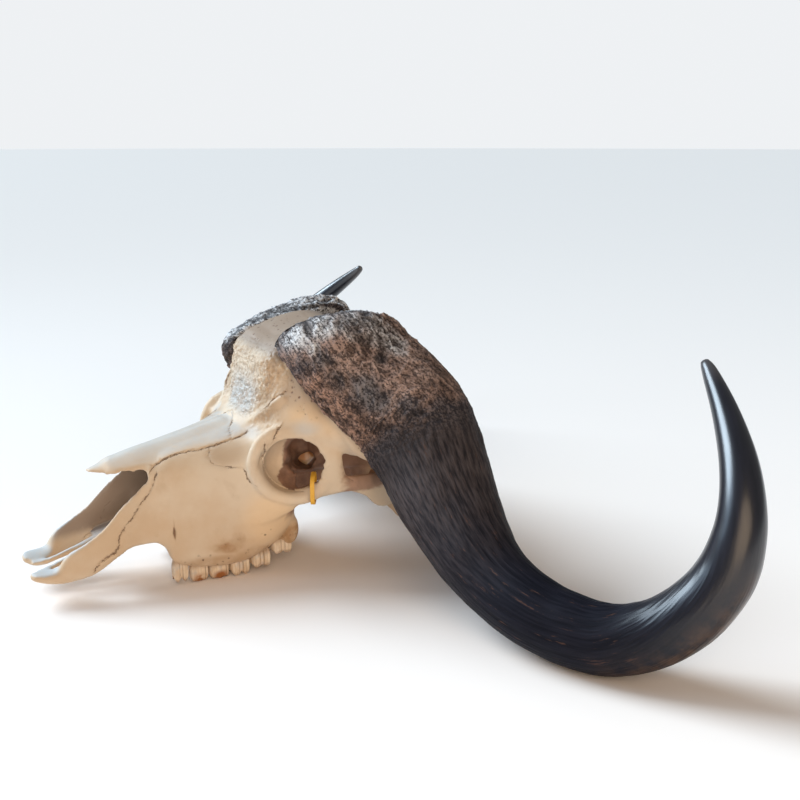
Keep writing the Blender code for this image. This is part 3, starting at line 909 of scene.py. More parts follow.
def make_bone(voxel, share):
    """One skin of bone with its hollows, finer where relief, rims and seams need it."""
    bone = join("skull_bone", bone_forms())
    hollows = join("hollows", hollow_forms())
    for body in (bone, hollows):
        apply_modifier(body, "REMESH", mode="VOXEL", voxel_size=voxel)
    rag_hollows(hollows)
    apply_modifier(bone, "BOOLEAN", operation="DIFFERENCE", solver="MANIFOLD", object=hollows)
    bpy.data.objects.remove(hollows)
    apply_modifier(bone, "REMESH", mode="VOXEL", voxel_size=voxel)
    apply_modifier(bone, "SMOOTH", factor=0.5, iterations=6)
    apply_modifier(bone, "DECIMATE", decimate_type="COLLAPSE", ratio=share)
    points = mesh_points(bone)[0]
    fine = rough_zone(points) > 0.05
    for centre, radii in FINE_ZONES:
        fine |= near(points, centre, radii) > 0
    refine(bone, fine)
    for reach in SEAM_SPLITS:
        points, normals = mesh_points(bone)
        gaps = [seam_fields(points, normals, lines)[0] for lines in (SEAMS_A, SEAMS_B)]
        refine(bone, np.minimum(*gaps) < reach)
    return bone


def rugged_bone(bone):
    """The bone's own relief: soft waves, lumpy brow, porous collar and sunken, stepped seams."""
    points, normals = mesh_points(bone)
    rough = rough_zone(points)
    collar = collar_zone(points)

    # Heights are in millimetres
    height = 0.40 * layers(points, 0.030, 3, 3) + 0.12 * noise(points, 0.0045, 11)
    warped = points + 0.0020 * drift(points, 0.010, 41)
    lumps = layers(warped * [1, 1, 0.8], 0.0105, 2, 21) * 2.2
    crumbs = (0.62 - np.minimum(pits(warped, 0.0050, 5), 0.62)) * 4.6
    grit = noise(points, 0.0030, 27) * 0.9 + noise(points, 0.0019, 28) * 0.4
    height = height + rough * (lumps + crumbs + grit - 0.7)
    pores = np.minimum(pits(points, 0.0060, 7), 0.32) - 0.32
    height = height + collar * (1 - rough) * (pores * 3.0 + 0.30 * noise(points, 0.0032, 31))
    height = height - 2.6 * near_both(points, *NERVE_SLIT)

    # The eye sockets' rims, which are rougher towards the cheek arch
    x, y, z = fold_sides(points)
    wall, outwards = eye_wall(points)
    rim = band(y, 122, 136, 160, 168) * band(x, 82, 88, 102, 110) * fade(z, 100, 108)
    low = 0.35 + 0.65 * (1 - fade(z, 126, 140))
    rim = rim * band(wall, 0.85, 0.95, 1.12, 1.26)
    points = points + outwards * (rim * low * 2.6 * noise(points, 0.0046, 45) * MM)[:, None]

    jag = 0.0011 * noise(points, 0.0034, 51) + 0.0006 * noise(points, 0.0015, 53)
    seam_sets = (("seam_a", SEAMS_A, 1.0, 0.55), ("seam_b", SEAMS_B, 0.7, 0.25))
    seams = {}
    for name, lines, depth, step in seam_sets:
        nearest, signed = seam_fields(points, normals, lines)
        groove = np.exp(-(((signed + jag) / 0.0009) ** 2)) * (nearest < 0.004)
        height = height - depth * groove
        height = height - step * np.tanh(signed / 0.0015) * np.exp(-nearest / 0.006)
        seams[name] = (nearest, signed)
    set_points(bone, np.clip(points + normals * (height * MM)[:, None], *CAD_BOX))
    for name, (nearest, signed) in seams.items():
        set_mask(bone, name, signed)
        set_mask(bone, name + "_gate", nearest)
    set_mask(bone, "rough", rough)
    set_mask(bone, "collar", collar * (1 - rough))
    # Painted shade in the hollows of the brow's relief
    set_mask(bone, "hollow_shade", fade(height, 0.1, -1.5) * rough)


def painted_wall_shade(points):
    """Painted brown shade on the walls inside the eye sockets and temple hollows, up to their
    ragged edges.
    """
    x, y, z = fold_sides(points)
    ragged = 2.2 * noise(points, 0.0042, 71) + 1.0 * noise(points, 0.0019, 73)
    front = np.interp(z, *SOCKET_FRONT) + 0.5 * ragged
    outer = np.interp(y, *SOCKET_OUTER) + ragged
    socket = fade(y, front - 1.2, front + 1.2) * (1 - fade(x, outer - 1.0, outer + 1.0))
    inner = (1 - fade(x, 76, 86)) * band(z, 60, 68, 146, 158)
    socket = socket * np.maximum(1 - fade(eye_wall(points)[0], 1.24, 1.36), inner)
    socket = socket * (1 - fade(y, 212, 232)) * fade(x, 18, 28)
    edge = 0.6 * ragged
    bottom = np.where(x < 92, 60, 89) + edge
    full = np.where(x < 92, 66, 93) + edge
    temple = fade(y, 165 + 2.5 * edge, 176 + 2.5 * edge) * (1 - fade(y, 222, 236))
    temple = temple * (1 - fade(z, 122, 128)) * fade(z, bottom, full) * fade(x, 16, 26)
    middle = (1 - fade(x, 60, 66)) * band(y, 126, 132, 180, 200) * (np.abs(z - 106) < 22)
    return np.max([socket, temple * 0.9, middle], axis=0)


def painted_highlights(points, normals):
    """Painted highlight, bluish-white, where bone faces up on the nose and the snout, on the front
    of the brow and at the highlight spots.
    """
    x, y, z = fold_sides(points)
    snout = y < -70
    flat = fade(normals[:, 2], np.where(snout, 0.5, 0.72), np.where(snout, 0.9, 0.98))
    top_highlight = (0.62 + 0.25 * snout) * flat * (1 - fade(y, 90, 108)) * fade(z, 12, 20)
    nasal_edge = np.interp(y, *NASAL_EDGE)
    top_highlight = top_highlight * np.where(y > -10, 1 - fade(x, nasal_edge - 9, nasal_edge + 3), 1)
    brow = rough_zone(points) * (1 - fade(x, 20, 50)) * (1 - fade(z, 180, 215))
    return np.max([top_highlight, 0.75 * brow, strongest(points, HIGHLIGHT_SPOTS)], axis=0)


def paint_bone(bone):
    """Where grease and stains change the colour of the bone, and where light and shade are painted
    on it: highlights, shade in hollows, in the nose and on the roof, and light through the socket
    break.
    """
    points, normals = mesh_points(bone)
    x, y, z = fold_sides(points)
    collar = collar_zone(points)
    behind_teeth = fade(near_both(points, (64, 132, 32), (28, 24, 28)), 0, 0.75)
    # Painted light on the far wall that shows through the break behind the eye socket
    lit = near(points, (-22, 178, 98), (50, 50, 40)) * (1 - fade(points[:, 0] / MM, -2, 6))
    window = fade(lit, 0.0, 0.3)
    # Painted shade on the walls inside the nose, which face inwards or lie near the middle
    inwards = fade(-normals[:, 0] * np.sign(points[:, 0]), 0.1, 0.6)
    nose = np.maximum(inwards, 1 - fade(x, 30, 34)) * (1 - fade(y, 80, 100)) * fade(z, 36, 48)
    nose = nose * (1 - fade(z - 0.2 * y, 112, 118)) * (1 - fade(x, 42, 48))
    speckled = np.maximum(collar * (1 - rough_zone(points)), strongest(points, SPECKLED))
    # Stains, grease, speckles and the nerve slit are the bone's own marks; the other masks are
    # painted light and shade
    masks = {
        "stain": np.maximum(strongest(points, STAINED), behind_teeth),
        "greasy": np.maximum(strongest(points, GREASY), collar * 0.6),
        "spot_shade": strongest(points, SPOT_SHADE),
        "speckled": speckled,
        "slit": near_both(points, *NERVE_SLIT),
        "window": window,
        "deep": painted_wall_shade(points) * (1 - window),
        "nose": nose,
        "roof": fade(z, 214, 234) * fade(y, 108, 124) * (1 - fade(x, 58, 70)),
        "top_highlight": painted_highlights(points, normals),
    }
    for name, values in masks.items():
        set_mask(bone, name, values)


def rounded_end(distance, radius):
    """How wide a bar is at that distance from a rounded end, as a share of its full width."""
    return np.sqrt(1 - (1 - np.clip(distance / radius, 0.03, 1)) ** 2)


def make_horn(name, rows, side, squareness, hand, fineness):
    """A horn as one skin, finest at the boss, with its straightened place kept for the grain."""
    path = smooth_rows(rows, 12)
    length = np.concatenate([[0], np.cumsum(np.linalg.norm(np.diff(path[:, :3], axis=0), axis=1))])
    stretches = [np.arange(a, min(b, length[-1]), gap) for a, b, gap in RING_SPACING]
    places = np.concatenate(stretches)[:: max(1, round(1 / fineness))]
    places = np.append(places, length[-1] - 0.1)
    path = np.column_stack([np.interp(places, length, column) for column in path.T])
    rings, out, rise = sweep_rings(path, side, int(240 * fineness), squareness=squareness)
    share = (rounded_end(places, 6) * rounded_end(length[-1] - places, 4))[:, None]
    rings = path[:, None, :3] + (rings - path[:, None, :3]) * share[..., None]
    along = np.broadcast_to(places[:, None], out.shape)
    straight = np.stack([out * share, rise * share, along], axis=-1) * MM
    body = make_body(name, in_metres(rings * [hand, 1, 1]), False)
    attribute = body.data.attributes.new("straight", "FLOAT_VECTOR", "POINT")
    attribute.data.foreach_set("vector", straight.astype(np.float32).ravel())
    return body, straight.reshape(-1, 3)


def carve_horn(body, straight, hand, seed):
    """Gnarled bosses, grained shafts and smooth ends. Heights and s, the way along, are in mm."""
    points, normals = mesh_points(body)
    s = straight[:, 2] / MM
    boss = 1 - fade(s, 120, 250)
    shaft = band(s, 110, 200, 470, 640)
    warp = 0.004 * drift(points, 0.018, seed + 1)
    gnarled = straight * [1, 1, 0.75] + warp
    crest = 1 - fade(s, 40, 105)
    knots = ridges(gnarled, 0.017, 1, seed + 4) * (1.1 + 0.9 * crest)
    worms = ridges(gnarled, 0.0074, 2, seed + 6) * (1.2 + 1.2 * crest)
    holes = np.minimum(pits(gnarled, 0.0056, seed + 8), 0.42) * (1.4 + 1.6 * crest)
    grit = noise(points, 0.0030, seed + 9) * 0.55
    fibres = ridges(straight * [1, 1, 0.30], 0.0040, 2, seed + 10) * 0.9
    lines = ridges(straight * [1, 1, 0.035], 0.0036, 2, seed + 12) * 0.5
    swell = layers(straight * [0.7, 0.7, 1], 0.052, 2, seed + 14) * 1.5
    rings = noise(straight * [0.15, 0.15, 1], 0.026, seed + 16) * 0.5
    front = 1 - fade(straight[:, 0] / MM, -62, -40)
    carved = knots + worms + holes + grit + fibres * (1 - 0.5 * crest) - 2.7 - 1.2 * crest
    relief = boss * carved + shaft * (lines + rings - 0.7) + (boss + shaft) * (swell - 0.4)
    relief = relief + (1 - fade(s, 4, 30)) * layers(points, 0.011, 2, seed + 18) * 2.2
    relief = relief + front * boss * layers(points, 0.0085, 3, seed + 22) * 2.4
    set_points(body, np.clip(points + normals * (relief * MM)[:, None], *CAD_BOX))
    set_mask(body, "boss", boss)
    # Painted shade in the hollows of the boss's relief
    set_mask(body, "hollow_shade", fade(relief, 0.2, -2.6) * boss)
    patch = layers(straight, 0.045, 3, seed + 20)
    paint_horn(body, s, points + warp, normals[:, 2], front, patch, relief, hand)


def round_patches(points, rows):
    """How near the points lie to the middle of each of several round patches."""
    return np.array([near(points, centre, (reach,) * 3) for centre, reach in rows])


def paint_horn(body, s, points, upward, front, patch, relief, hand):
    """Where the boss's fibres have dried out, with painted light where it faces up and on its
    crests, where it is brown or dark, where warm light is painted on the shaft's lower curve and
    where the shaft is polished.
    """
    # Painted light: the dried tone is laid on more where the boss faces up and on the crests of
    # its relief, and on the left boss's shaded top
    crown = fade(upward, 0.05, 0.55)
    dry_and_lit = 0.15 * (1 - fade(s + 30 * patch, 90, 165)) * crown
    if hand > 0:
        inner_end = (1 - fade(s, 6, 26)) * 0.7 * fade(upward, -0.45, 0.1)
        frost_and_lit = round_patches(points, FROST_AND_LIT_PATCHES).max(axis=0) * crown
        dry_and_lit = np.max([dry_and_lit, inner_end, frost_and_lit], axis=0)
        kept_brown = (1 - 0.9 * round_patches(points, DARK_PATCHES)).prod(axis=0)
    else:
        dry_and_lit = np.maximum(dry_and_lit, (1 - fade(s + 40 * patch, 60, 130)) * fade(upward, 0.25, 0.60))
        kept_brown = 0.5
    brown = fade(s, 8, 40) * (1 - fade(s + 34 * patch, 118, 165)) * fade(patch, -0.95, -0.35)
    brown_front = front * band(s, 30, 60, 130, 170) * (1 if hand > 0 else 0.4)
    set_mask(body, "dry_and_lit", dry_and_lit * (0.6 + 0.4 * fade(relief, -2.2, 0.0)))
    set_mask(body, "brown", np.maximum(brown * kept_brown, brown_front))
    set_mask(body, "upper", 1 - fade(s, 200, 380))
    set_mask(body, "polish", fade(s, 430, 600))
    # Painted warm light from the fill lamp, on the shaft's outer curve where it faces down
    set_mask(body, "fill_lit_curve", band(s, 430, 500, 580, 650) * fade(-upward, -0.2, 0.5))


def rounded_bumps(t, places, width):
    return sum(np.exp(-(((t - place) / width) ** 2)) for place in places)


def tooth_outline(length, breadth, lobes, count):
    """The crown from below: a gently ribbed outer wall and rounded lobes on the inner one."""
    t = -np.cos(np.linspace(0, math.pi, count // 2))
    ribs = rounded_bumps(t, np.linspace(-0.84, 0.84, lobes + 1), 0.16)
    folds = rounded_bumps(t, np.linspace(-0.84, 0.84, 2 * lobes + 1)[1::2], 0.10)
    end = (1 - np.abs(t) ** 6) ** 0.35
    outer = breadth * 0.5 * end * (0.88 + 0.12 * ribs + 0.04 * folds)
    wave = np.abs(np.sin((t + 1) / 2 * lobes * math.pi)) ** 0.5
    inner = -breadth * 0.5 * end * (0.5 + 0.5 * wave)
    wall = np.column_stack([outer, t * length / 2])
    back = np.column_stack([inner, t * length / 2])[::-1]
    along = np.concatenate([t, t[::-1]])
    groove = rounded_bumps(t, (0.58,) if lobes == 1 else (-0.20, 0.18), 0.04)
    grooves = np.concatenate([np.clip(groove, 0, 1), (1 - wave[::-1]) ** 2])
    return np.vstack([wall, back]), along, grooves


def make_tooth(name, start, row, mirrored, seed):
    """A crown on its neck, with a notched and chipped edge round a hollow biting face."""
    _, length, breadth, outer, edge, gum, lobes, notch, wear = row
    if name == "crown_" + BROKEN_TOOTH:
        edge = BROKEN_EDGE
    outline, along, grooves = tooth_outline(length - 0.6, breadth, lobes, 128)
    centre = np.array([outer - breadth / 2, start + length / 2])
    tips = np.abs(np.sin((along + 1) / 2 * lobes * math.pi)) ** 0.75
    chips = noise(np.column_stack([outline, np.zeros(len(outline))]), 3.2, seed) * 1.1
    cusp = np.where(outline[:, 0] > 0, notch, 2.6) * (1 - tips) + np.maximum(chips, -0.4)
    rings = []
    for level in np.linspace(0, 1, 30):
        height = gum + SOCKET_DEPTH + (edge - gum - SOCKET_DEPTH) * level
        scale = 0.74 + 0.26 * fade(level, 0.0, 0.6) - 0.09 * fade(level, 0.72, 1.0)
        z = height + cusp * fade(level, 0.62, 1.0)
        rings.append(np.column_stack([outline * [scale, min(1, scale + 0.05)] + centre, z]))
    for share, dip in BITING_FACE:
        z = edge + cusp * share + dip
        rings.append(np.column_stack([outline * share * [0.90, 0.95] + centre, z]))
    rings = np.array(rings) * [-1 if mirrored else 1, 1, 1]
    body = make_body(name, in_metres(rings), False)
    points, normals = mesh_points(body)
    bumps = 0.22 * layers(points * [1, 1, 0.3], 0.0035, 2, seed) * MM
    set_points(body, np.clip(points + normals * (bumps - 0.15 * MM)[:, None], *CAD_BOX))
    z = mesh_points(body)[0][:, 2] / MM
    along = points[:, 1] / MM + ORIGIN_BEHIND_TEETH - start - length / 2
    low = 1 - fade(z, edge + 3, edge + 11)
    spot = np.exp(-((along / (length * 0.3)) ** 2))
    set_mask(body, "wear", np.clip(wear * low * spot * 1.5, 0, 1))
    set_mask(body, "gum", fade(z, gum - 4, gum + 2))
    set_mask(body, "bite", 1 - fade(z, edge + 0.5, edge + 4.5))
    set_mask(body, "groove", np.tile(grooves, len(rings)))
    return body


def make_strap():
    """The closed band, a rounded square that hangs round the bar under the eye socket."""
    power = STRAP_SQUARENESS
    rows = []
    for turn in np.linspace(0, 2 * math.pi, 24, endpoint=False):
        across, up = math.cos(turn), math.sin(turn)
        size = (abs(across) ** power + abs(up) ** power) ** (1 / power)
        direction = np.array([STRAP_FACING[1] * across, -STRAP_FACING[0] * across, up])
        centre = STRAP_CENTRE + STRAP_RADIUS / size * direction
        rows.append((*centre, STRAP_HALF_WIDTH, STRAP_HALF_THICKNESS))
    return bar("strap_band", rows, STRAP_FACING, sides=16, steps=4, closed=True, squareness=5)


# Materials


def new_material(name):
    material = bpy.data.materials.new(name)
    material.use_nodes = True
    tree = material.node_tree
    return material, tree, tree.nodes["Principled BSDF"]


def set_inputs(tree, node, inputs):
    """Gives a node's inputs their values, or links them to other nodes' outputs."""
    for key, value in inputs.items():
        socket = node.inputs[key]
        if isinstance(value, bpy.types.NodeSocket):
            tree.links.new(value, socket)
        else:
            socket.default_value = (*value, 1) if socket.type == "RGBA" else value


def add(tree, kind, inputs=None, **settings):
    node = tree.nodes.new(kind)
    for key, value in settings.items():
        setattr(node, key, value)
    set_inputs(tree, node, inputs or {})
    return node


def mask(tree, name):
    return add(tree, "ShaderNodeAttribute", attribute_name=name).outputs["Fac"]


def object_place(tree):
    return add(tree, "ShaderNodeTexCoord").outputs["Object"]


def math_node(tree, operation, a, b=0.0, c=0.0, clamp=False):
    inputs = {0: a, 1: b, 2: c}
    return add(tree, "ShaderNodeMath", inputs, operation=operation, use_clamp=clamp).outputs[0]


def times(tree, a, b):
    return math_node(tree, "MULTIPLY", a, b)


def mix_colour(tree, share, a, b):
    return add(tree, "ShaderNodeMix", {0: share, 6: a, 7: b}, data_type="RGBA").outputs[2]


def noise_node(tree, vector, scale, detail=3.0, roughness=0.55):
    inputs = {"Vector": vector, "Scale": scale, "Detail": detail, "Roughness": roughness}
    return add(tree, "ShaderNodeTexNoise", inputs).outputs["Fac"]


def ramp(tree, value, low, high, out_low=0.0, out_high=1.0):
    inputs = {"Value": value, "From Min": low, "From Max": high}
    inputs |= {"To Min": out_low, "To Max": out_high}
    node = add(tree, "ShaderNodeMapRange", inputs, interpolation_type="SMOOTHSTEP")
    return node.outputs["Result"]


def bump(tree, relief, strength, distance):
    inputs = {"Strength": strength, "Distance": distance, "Height": relief}
    return add(tree, "ShaderNodeBump", inputs).outputs["Normal"]


# Effects that several materials use, each a node group that is built once. A group's inputs are
# listed with their kinds, and its one output comes last


def mottle_nodes(group, inputs):
    share = ramp(group, inputs["Pattern"], inputs["Low"], inputs["High"])
    return mix_colour(group, share, inputs["First"], inputs["Second"])


def patchy_tint_nodes(group, inputs):
    limits = (inputs[name] for name in ("Low", "High", "Least", "Most"))
    share = times(group, inputs["Mask"], ramp(group, inputs["Pattern"], *limits))
    return mix_colour(group, share, inputs["Colour"], inputs["Tint"])


def streak_nodes(group, inputs):
    stretch = {"Vector": inputs["Place"], "Scale": inputs["Stretch"]}
    vector = add(group, "ShaderNodeMapping", stretch).outputs["Vector"]
    return noise_node(group, vector, inputs["Scale"], inputs["Detail"], inputs["Roughness"])


EFFECTS = {
    "mottle": (
        mottle_nodes,
        {"Pattern": "Float", "Low": "Float", "High": "Float", "First": "Color", "Second": "Color"},
        ("Colour", "Color"),
    ),
    "patchy_tint": (
        patchy_tint_nodes,
        {
            "Colour": "Color",
            "Tint": "Color",
            "Mask": "Float",
            "Pattern": "Float",
            "Low": "Float",
            "High": "Float",
            "Least": "Float",
            "Most": "Float",
        },
        ("Colour", "Color"),
    ),
    "streaks": (
        streak_nodes,
        {
            "Place": "Vector",
            "Stretch": "Vector",
            "Scale": "Float",
            "Detail": "Float",
            "Roughness": "Float",
        },
        ("Streaks", "Float"),
    ),
}


def effect_group(name):
    """The node group of an effect, which is built when it is first asked for."""
    if name in bpy.data.node_groups:
        return bpy.data.node_groups[name]
    build, inputs, (output, kind) = EFFECTS[name]
    group = bpy.data.node_groups.new(name, "ShaderNodeTree")
    sockets = group.interface
    for label, sort in inputs.items():
        sockets.new_socket(name=label, in_out="INPUT", socket_type="NodeSocket" + sort)
    sockets.new_socket(name=output, in_out="OUTPUT", socket_type="NodeSocket" + kind)
    result = build(group, add(group, "NodeGroupInput").outputs)
    add(group, "NodeGroupOutput", {output: result})
    return group


def effect(tree, name, inputs):
    return add(tree, "ShaderNodeGroup", inputs, node_tree=effect_group(name)).outputs[0]


def mottle(tree, pattern, low, high, first, second):
    """The first tone where the pattern is below low, the second one above high."""
    inputs = {"Pattern": pattern, "Low": low, "High": high, "First": first, "Second": second}
    return effect(tree, "mottle", inputs)


def patchy_tint(tree, colour, share, pattern, low, high, least, most, tint):
    """A tint with the strength of share, which a pattern weakens to least or lets up to most."""
    inputs = {"Colour": colour, "Tint": tint, "Mask": share, "Pattern": pattern}
    inputs |= {"Low": low, "High": high, "Least": least, "Most": most}
    return effect(tree, "patchy_tint", inputs)


def streaks(tree, place, length, scale, detail, roughness=0.55):
    """Noise that is drawn out along the place's third direction."""
    inputs = {"Place": place, "Stretch": (1, 1, length), "Scale": scale}
    inputs |= {"Detail": detail, "Roughness": roughness}
    return effect(tree, "streaks", inputs)


def tint(tree, colour, name, strength, tone):
    """A tint where the piece's mask of that name lies."""
    return mix_colour(tree, times(tree, mask(tree, name), strength), colour, tone)


def seam_lines(tree, place):
    """The thin, wavering and broken lines of the seams, and the nerve slit."""
    waver = noise_node(tree, place, 300, 5, 0.75)
    jag = math_node(tree, "MULTIPLY_ADD", waver, 0.0084, -0.0042)
    uneven = noise_node(tree, place, 120, 3, 0.7)
    lines = ramp(tree, mask(tree, "slit"), 0.1, 0.6)
    for name, width, gap in (("seam_a", 0.0010, 0.40), ("seam_b", 0.0009, 0.52)):
        distance = math_node(tree, "ABSOLUTE", math_node(tree, "ADD", mask(tree, name), jag))
        line = ramp(tree, distance, width, width * 0.2)
        line = times(tree, line, ramp(tree, uneven, gap, gap + 0.10, 0.05, 0.9))
        line = times(tree, line, ramp(tree, mask(tree, name + "_gate"), 0.0042, 0.0030))
        lines = math_node(tree, "MAXIMUM", lines, line)
    return lines


def bone_material(settings):
    material, tree, shader = new_material("old_bone")
    tones = BONE_TONES
    place = object_place(tree)
    cloud = noise_node(tree, place, 14, 4)
    patch = noise_node(tree, place, 45, 4)
    grain = noise_node(tree, place, 170, 4, 0.65)
    fine = noise_node(tree, place, 520, 3)
    crumble = noise_node(tree, place, 340, 5, 0.75)
    nubs = noise_node(tree, place, 210, 1.0, 0.4)
    stain = mask(tree, "stain")
    rough = mask(tree, "rough")

    colour = mottle(tree, cloud, 0.35, 0.7, settings.bone_light, settings.bone_warm)
    blotches = ramp(tree, patch, 0.55, 0.85, 0, 0.35)
    colour = mix_colour(tree, blotches, colour, tones["blotch"])
    colour = tint(tree, colour, "greasy", 0.75, tones["greasy"])
    # Painted shade, darker brown on the lacrimal bone and the brow ridge
    colour = tint(tree, colour, "spot_shade", 0.7, tones["spot_shade"])
    # Painted highlight, bluish-white, where the bone faces the light
    highlight_tone = settings.bone_highlight
    top_highlight = mask(tree, "top_highlight")
    colour = patchy_tint(tree, colour, top_highlight, grain, 0.25, 0.6, 0.75, 1.0, highlight_tone)
    colour = patchy_tint(tree, colour, stain, patch, 0.34, 0.54, 0.4, 1.0, tones["stain"])
    colour = patchy_tint(tree, colour, rough, crumble, 0.56, 0.44, 0.0, 0.35, tones["crumbly"])
    # Painted shade in the hollows of the brow's relief
    colour = tint(tree, colour, "hollow_shade", 0.55, tones["hollow_shade"])
    # Painted shade on the roof between the bosses
    colour = tint(tree, colour, "roof", 0.92, tones["roof"])
    # Painted shade inside the nose
    colour = tint(tree, colour, "nose", 0.8, tones["nose"])
    # Painted shade on the walls inside the eye sockets and temple hollows
    colour = tint(tree, colour, "deep", 0.95, mottle(tree, patch, 0.35, 0.65, *tones["deep"]))
    # Painted light on the far wall seen through the socket break
    colour = tint(tree, colour, "window", 0.9, mottle(tree, patch, 0.4, 0.6, *tones["window"]))
    colour = tint(tree, colour, "collar", 0.75, tones["collar"])

    dots = add(tree, "ShaderNodeTexVoronoi", {"Vector": place, "Scale": 170.0}).outputs["Distance"]
    pores = times(tree, ramp(tree, dots, 0.30, 0.14), ramp(tree, grain, 0.42, 0.56))
    share = math_node(tree, "MULTIPLY_ADD", mask(tree, "speckled"), 0.9, times(tree, stain, 0.5))
    share = math_node(tree, "ADD", share, ramp(tree, patch, 0.66, 0.76, 0.0, 0.25))
    pores = math_node(tree, "MULTIPLY", pores, share, clamp=True)
    colour = mix_colour(tree, pores, colour, tones["pore"])
    cracks = seam_lines(tree, place)
    colour = mix_colour(tree, times(tree, cracks, 0.8), colour, tones["crack"])

    relief = math_node(tree, "MULTIPLY_ADD", fine, 0.2, times(tree, patch, 0.5))
    relief = math_node(tree, "MULTIPLY_ADD", times(tree, rough, nubs), 9.0, relief)
    relief = math_node(tree, "MULTIPLY_ADD", times(tree, rough, crumble), 1.5, relief)
    relief = math_node(tree, "SUBTRACT", relief, times(tree, cracks, 1.6))
    relief = math_node(tree, "SUBTRACT", relief, times(tree, pores, 1.2))
    finish = {
        "Base Color": colour,
        "Roughness": ramp(tree, patch, 0.3, 0.8, 0.50, 0.66),
        "Specular IOR Level": 0.3,
        "Normal": bump(tree, relief, 0.75, 0.0006),
    }
    set_inputs(tree, shader, finish)
    return material


def horn_material(settings):
    material, tree, shader = new_material("horn_sheath")
    tones = HORN_TONES
    straight = add(tree, "ShaderNodeAttribute", attribute_name="straight").outputs["Vector"]
    place = object_place(tree)
    boss = mask(tree, "boss")
    polish = mask(tree, "polish")
    fibre = streaks(tree, straight, 0.35, 300, 3, 0.7)
    grain = streaks(tree, straight, 0.07, 330, 4)
    flecks = streaks(tree, straight, 0.16, 300, 3, 0.7)
    crumb = noise_node(tree, place, 620, 3, 0.6)
    blotch = noise_node(tree, place, 48, 4, 0.6)
    speck = times(tree, noise_node(tree, place, 400, 5, 0.75), 0.6)
    speck = math_node(tree, "MULTIPLY_ADD", fibre, 0.4, speck)

    colour = mottle(tree, grain, 0.3, 0.7, *tones["shaft"])
    upper = mottle(tree, grain, 0.3, 0.7, *tones["upper"])
    colour = mix_colour(tree, mask(tree, "upper"), colour, upper)
    dull = ramp(tree, polish, 0.4, 0.0)
    colour = patchy_tint(tree, colour, dull, flecks, 0.60, 0.74, 0.0, 0.6, tones["fleck"])
    # Painted warm light from the fill lamp, on the shaft's outer curve where it faces down
    curve = mask(tree, "fill_lit_curve")
    colour = patchy_tint(tree, colour, curve, blotch, 0.35, 0.65, 0.0, 0.7, tones["fill_lit_curve"])
    worn = mottle(tree, speck, 0.46, 0.57, *tones["worn"])
    colour = mix_colour(tree, ramp(tree, boss, 0.3, 0.95), colour, worn)
    brown = mottle(tree, speck, 0.45, 0.55, tones["brown_base"], settings.horn_brown)
    colour = patchy_tint(tree, colour, mask(tree, "brown"), blotch, 0.28, 0.46, 0.35, 1.0, brown)
    # Dried fibres on the bosses, partly painted light where they face up
    dry_and_lit = mottle(tree, speck, 0.44, 0.54, tones["dry_and_lit_base"], settings.horn_frost_lit)
    colour = patchy_tint(tree, colour, mask(tree, "dry_and_lit"), blotch, 0.36, 0.52, 0.45, 1.0, dry_and_lit)
    # Painted shade in the hollows of the boss's relief
    hollow_shade = mask(tree, "hollow_shade")
    colour = patchy_tint(tree, colour, hollow_shade, crumb, 0.3, 0.6, 0.66, 0.88, tones["hollow_shade_tone"])
    along = add(tree, "ShaderNodeSeparateXYZ", {"Vector": straight}).outputs["Z"]
    colour = mix_colour(tree, ramp(tree, along, 0.735, 0.775, 0.0, 0.4), colour, tones["tip"])

    relief = times(tree, math_node(tree, "MULTIPLY_ADD", crumb, 0.6, speck), boss)
    calm = ramp(tree, polish, 0.0, 0.8, 1.0, 0.06)
    relief = math_node(tree, "MULTIPLY_ADD", grain, calm, relief)
    finish = {
        "Base Color": colour,
        "Roughness": ramp(tree, polish, 0.0, 1.0, 0.60, 0.34),
        "Specular IOR Level": 0.12,
        "Coat Weight": times(tree, polish, ramp(tree, grain, 0.2, 0.8, 1.0, 0.75)),
        "Coat Roughness": 0.28,
        "Coat IOR": 1.6,
        "Normal": bump(tree, relief, 0.9, 0.0012),
    }
    set_inputs(tree, shader, finish)
    return material


def tooth_material(settings):
    material, tree, shader = new_material("tooth_enamel")
    tones = TOOTH_TONES
    place = object_place(tree)
    streak = streaks(tree, place, 0.22, 260, 4, 0.6)
    cloud = noise_node(tree, place, 90, 3)
    colour = mottle(tree, streak, 0.3, 0.7, settings.tooth_light, tones["streak"])
    colour = mix_colour(tree, ramp(tree, cloud, 0.50, 0.68, 0.0, 0.4), colour, tones["grey"])
    # Painted shade in the grooves between a tooth's lobes
    groove = mask(tree, "groove")
    colour = patchy_tint(tree, colour, groove, streak, 0.25, 0.6, 0.45, 0.9, tones["groove"])
    colour = tint(tree, colour, "gum", 0.65, tones["gum"])
    wear = mask(tree, "wear")
    colour = patchy_tint(tree, colour, wear, cloud, 0.34, 0.50, 0.0, 1.0, tones["wear"])
    bite = mask(tree, "bite")
    colour = patchy_tint(tree, colour, bite, streak, 0.3, 0.6, 0.2, 0.6, tones["bite"])
    finish = {
        "Base Color": colour,
        "Roughness": ramp(tree, streak, 0.2, 0.8, 0.28, 0.5),
        "Normal": bump(tree, streak, 0.4, 0.0004),
    }
    set_inputs(tree, shader, finish)
    return material


def strap_material(settings):
    material, tree, shader = new_material("strap_plastic")
    cloud = noise_node(tree, object_place(tree), 300, 3)
    finish = {
        "Base Color": mix_colour(tree, cloud, settings.strap, STRAP_SHADE),
        "Roughness": ramp(tree, cloud, 0.2, 0.8, 0.32, 0.5),
    }
    set_inputs(tree, shader, finish)
    return material


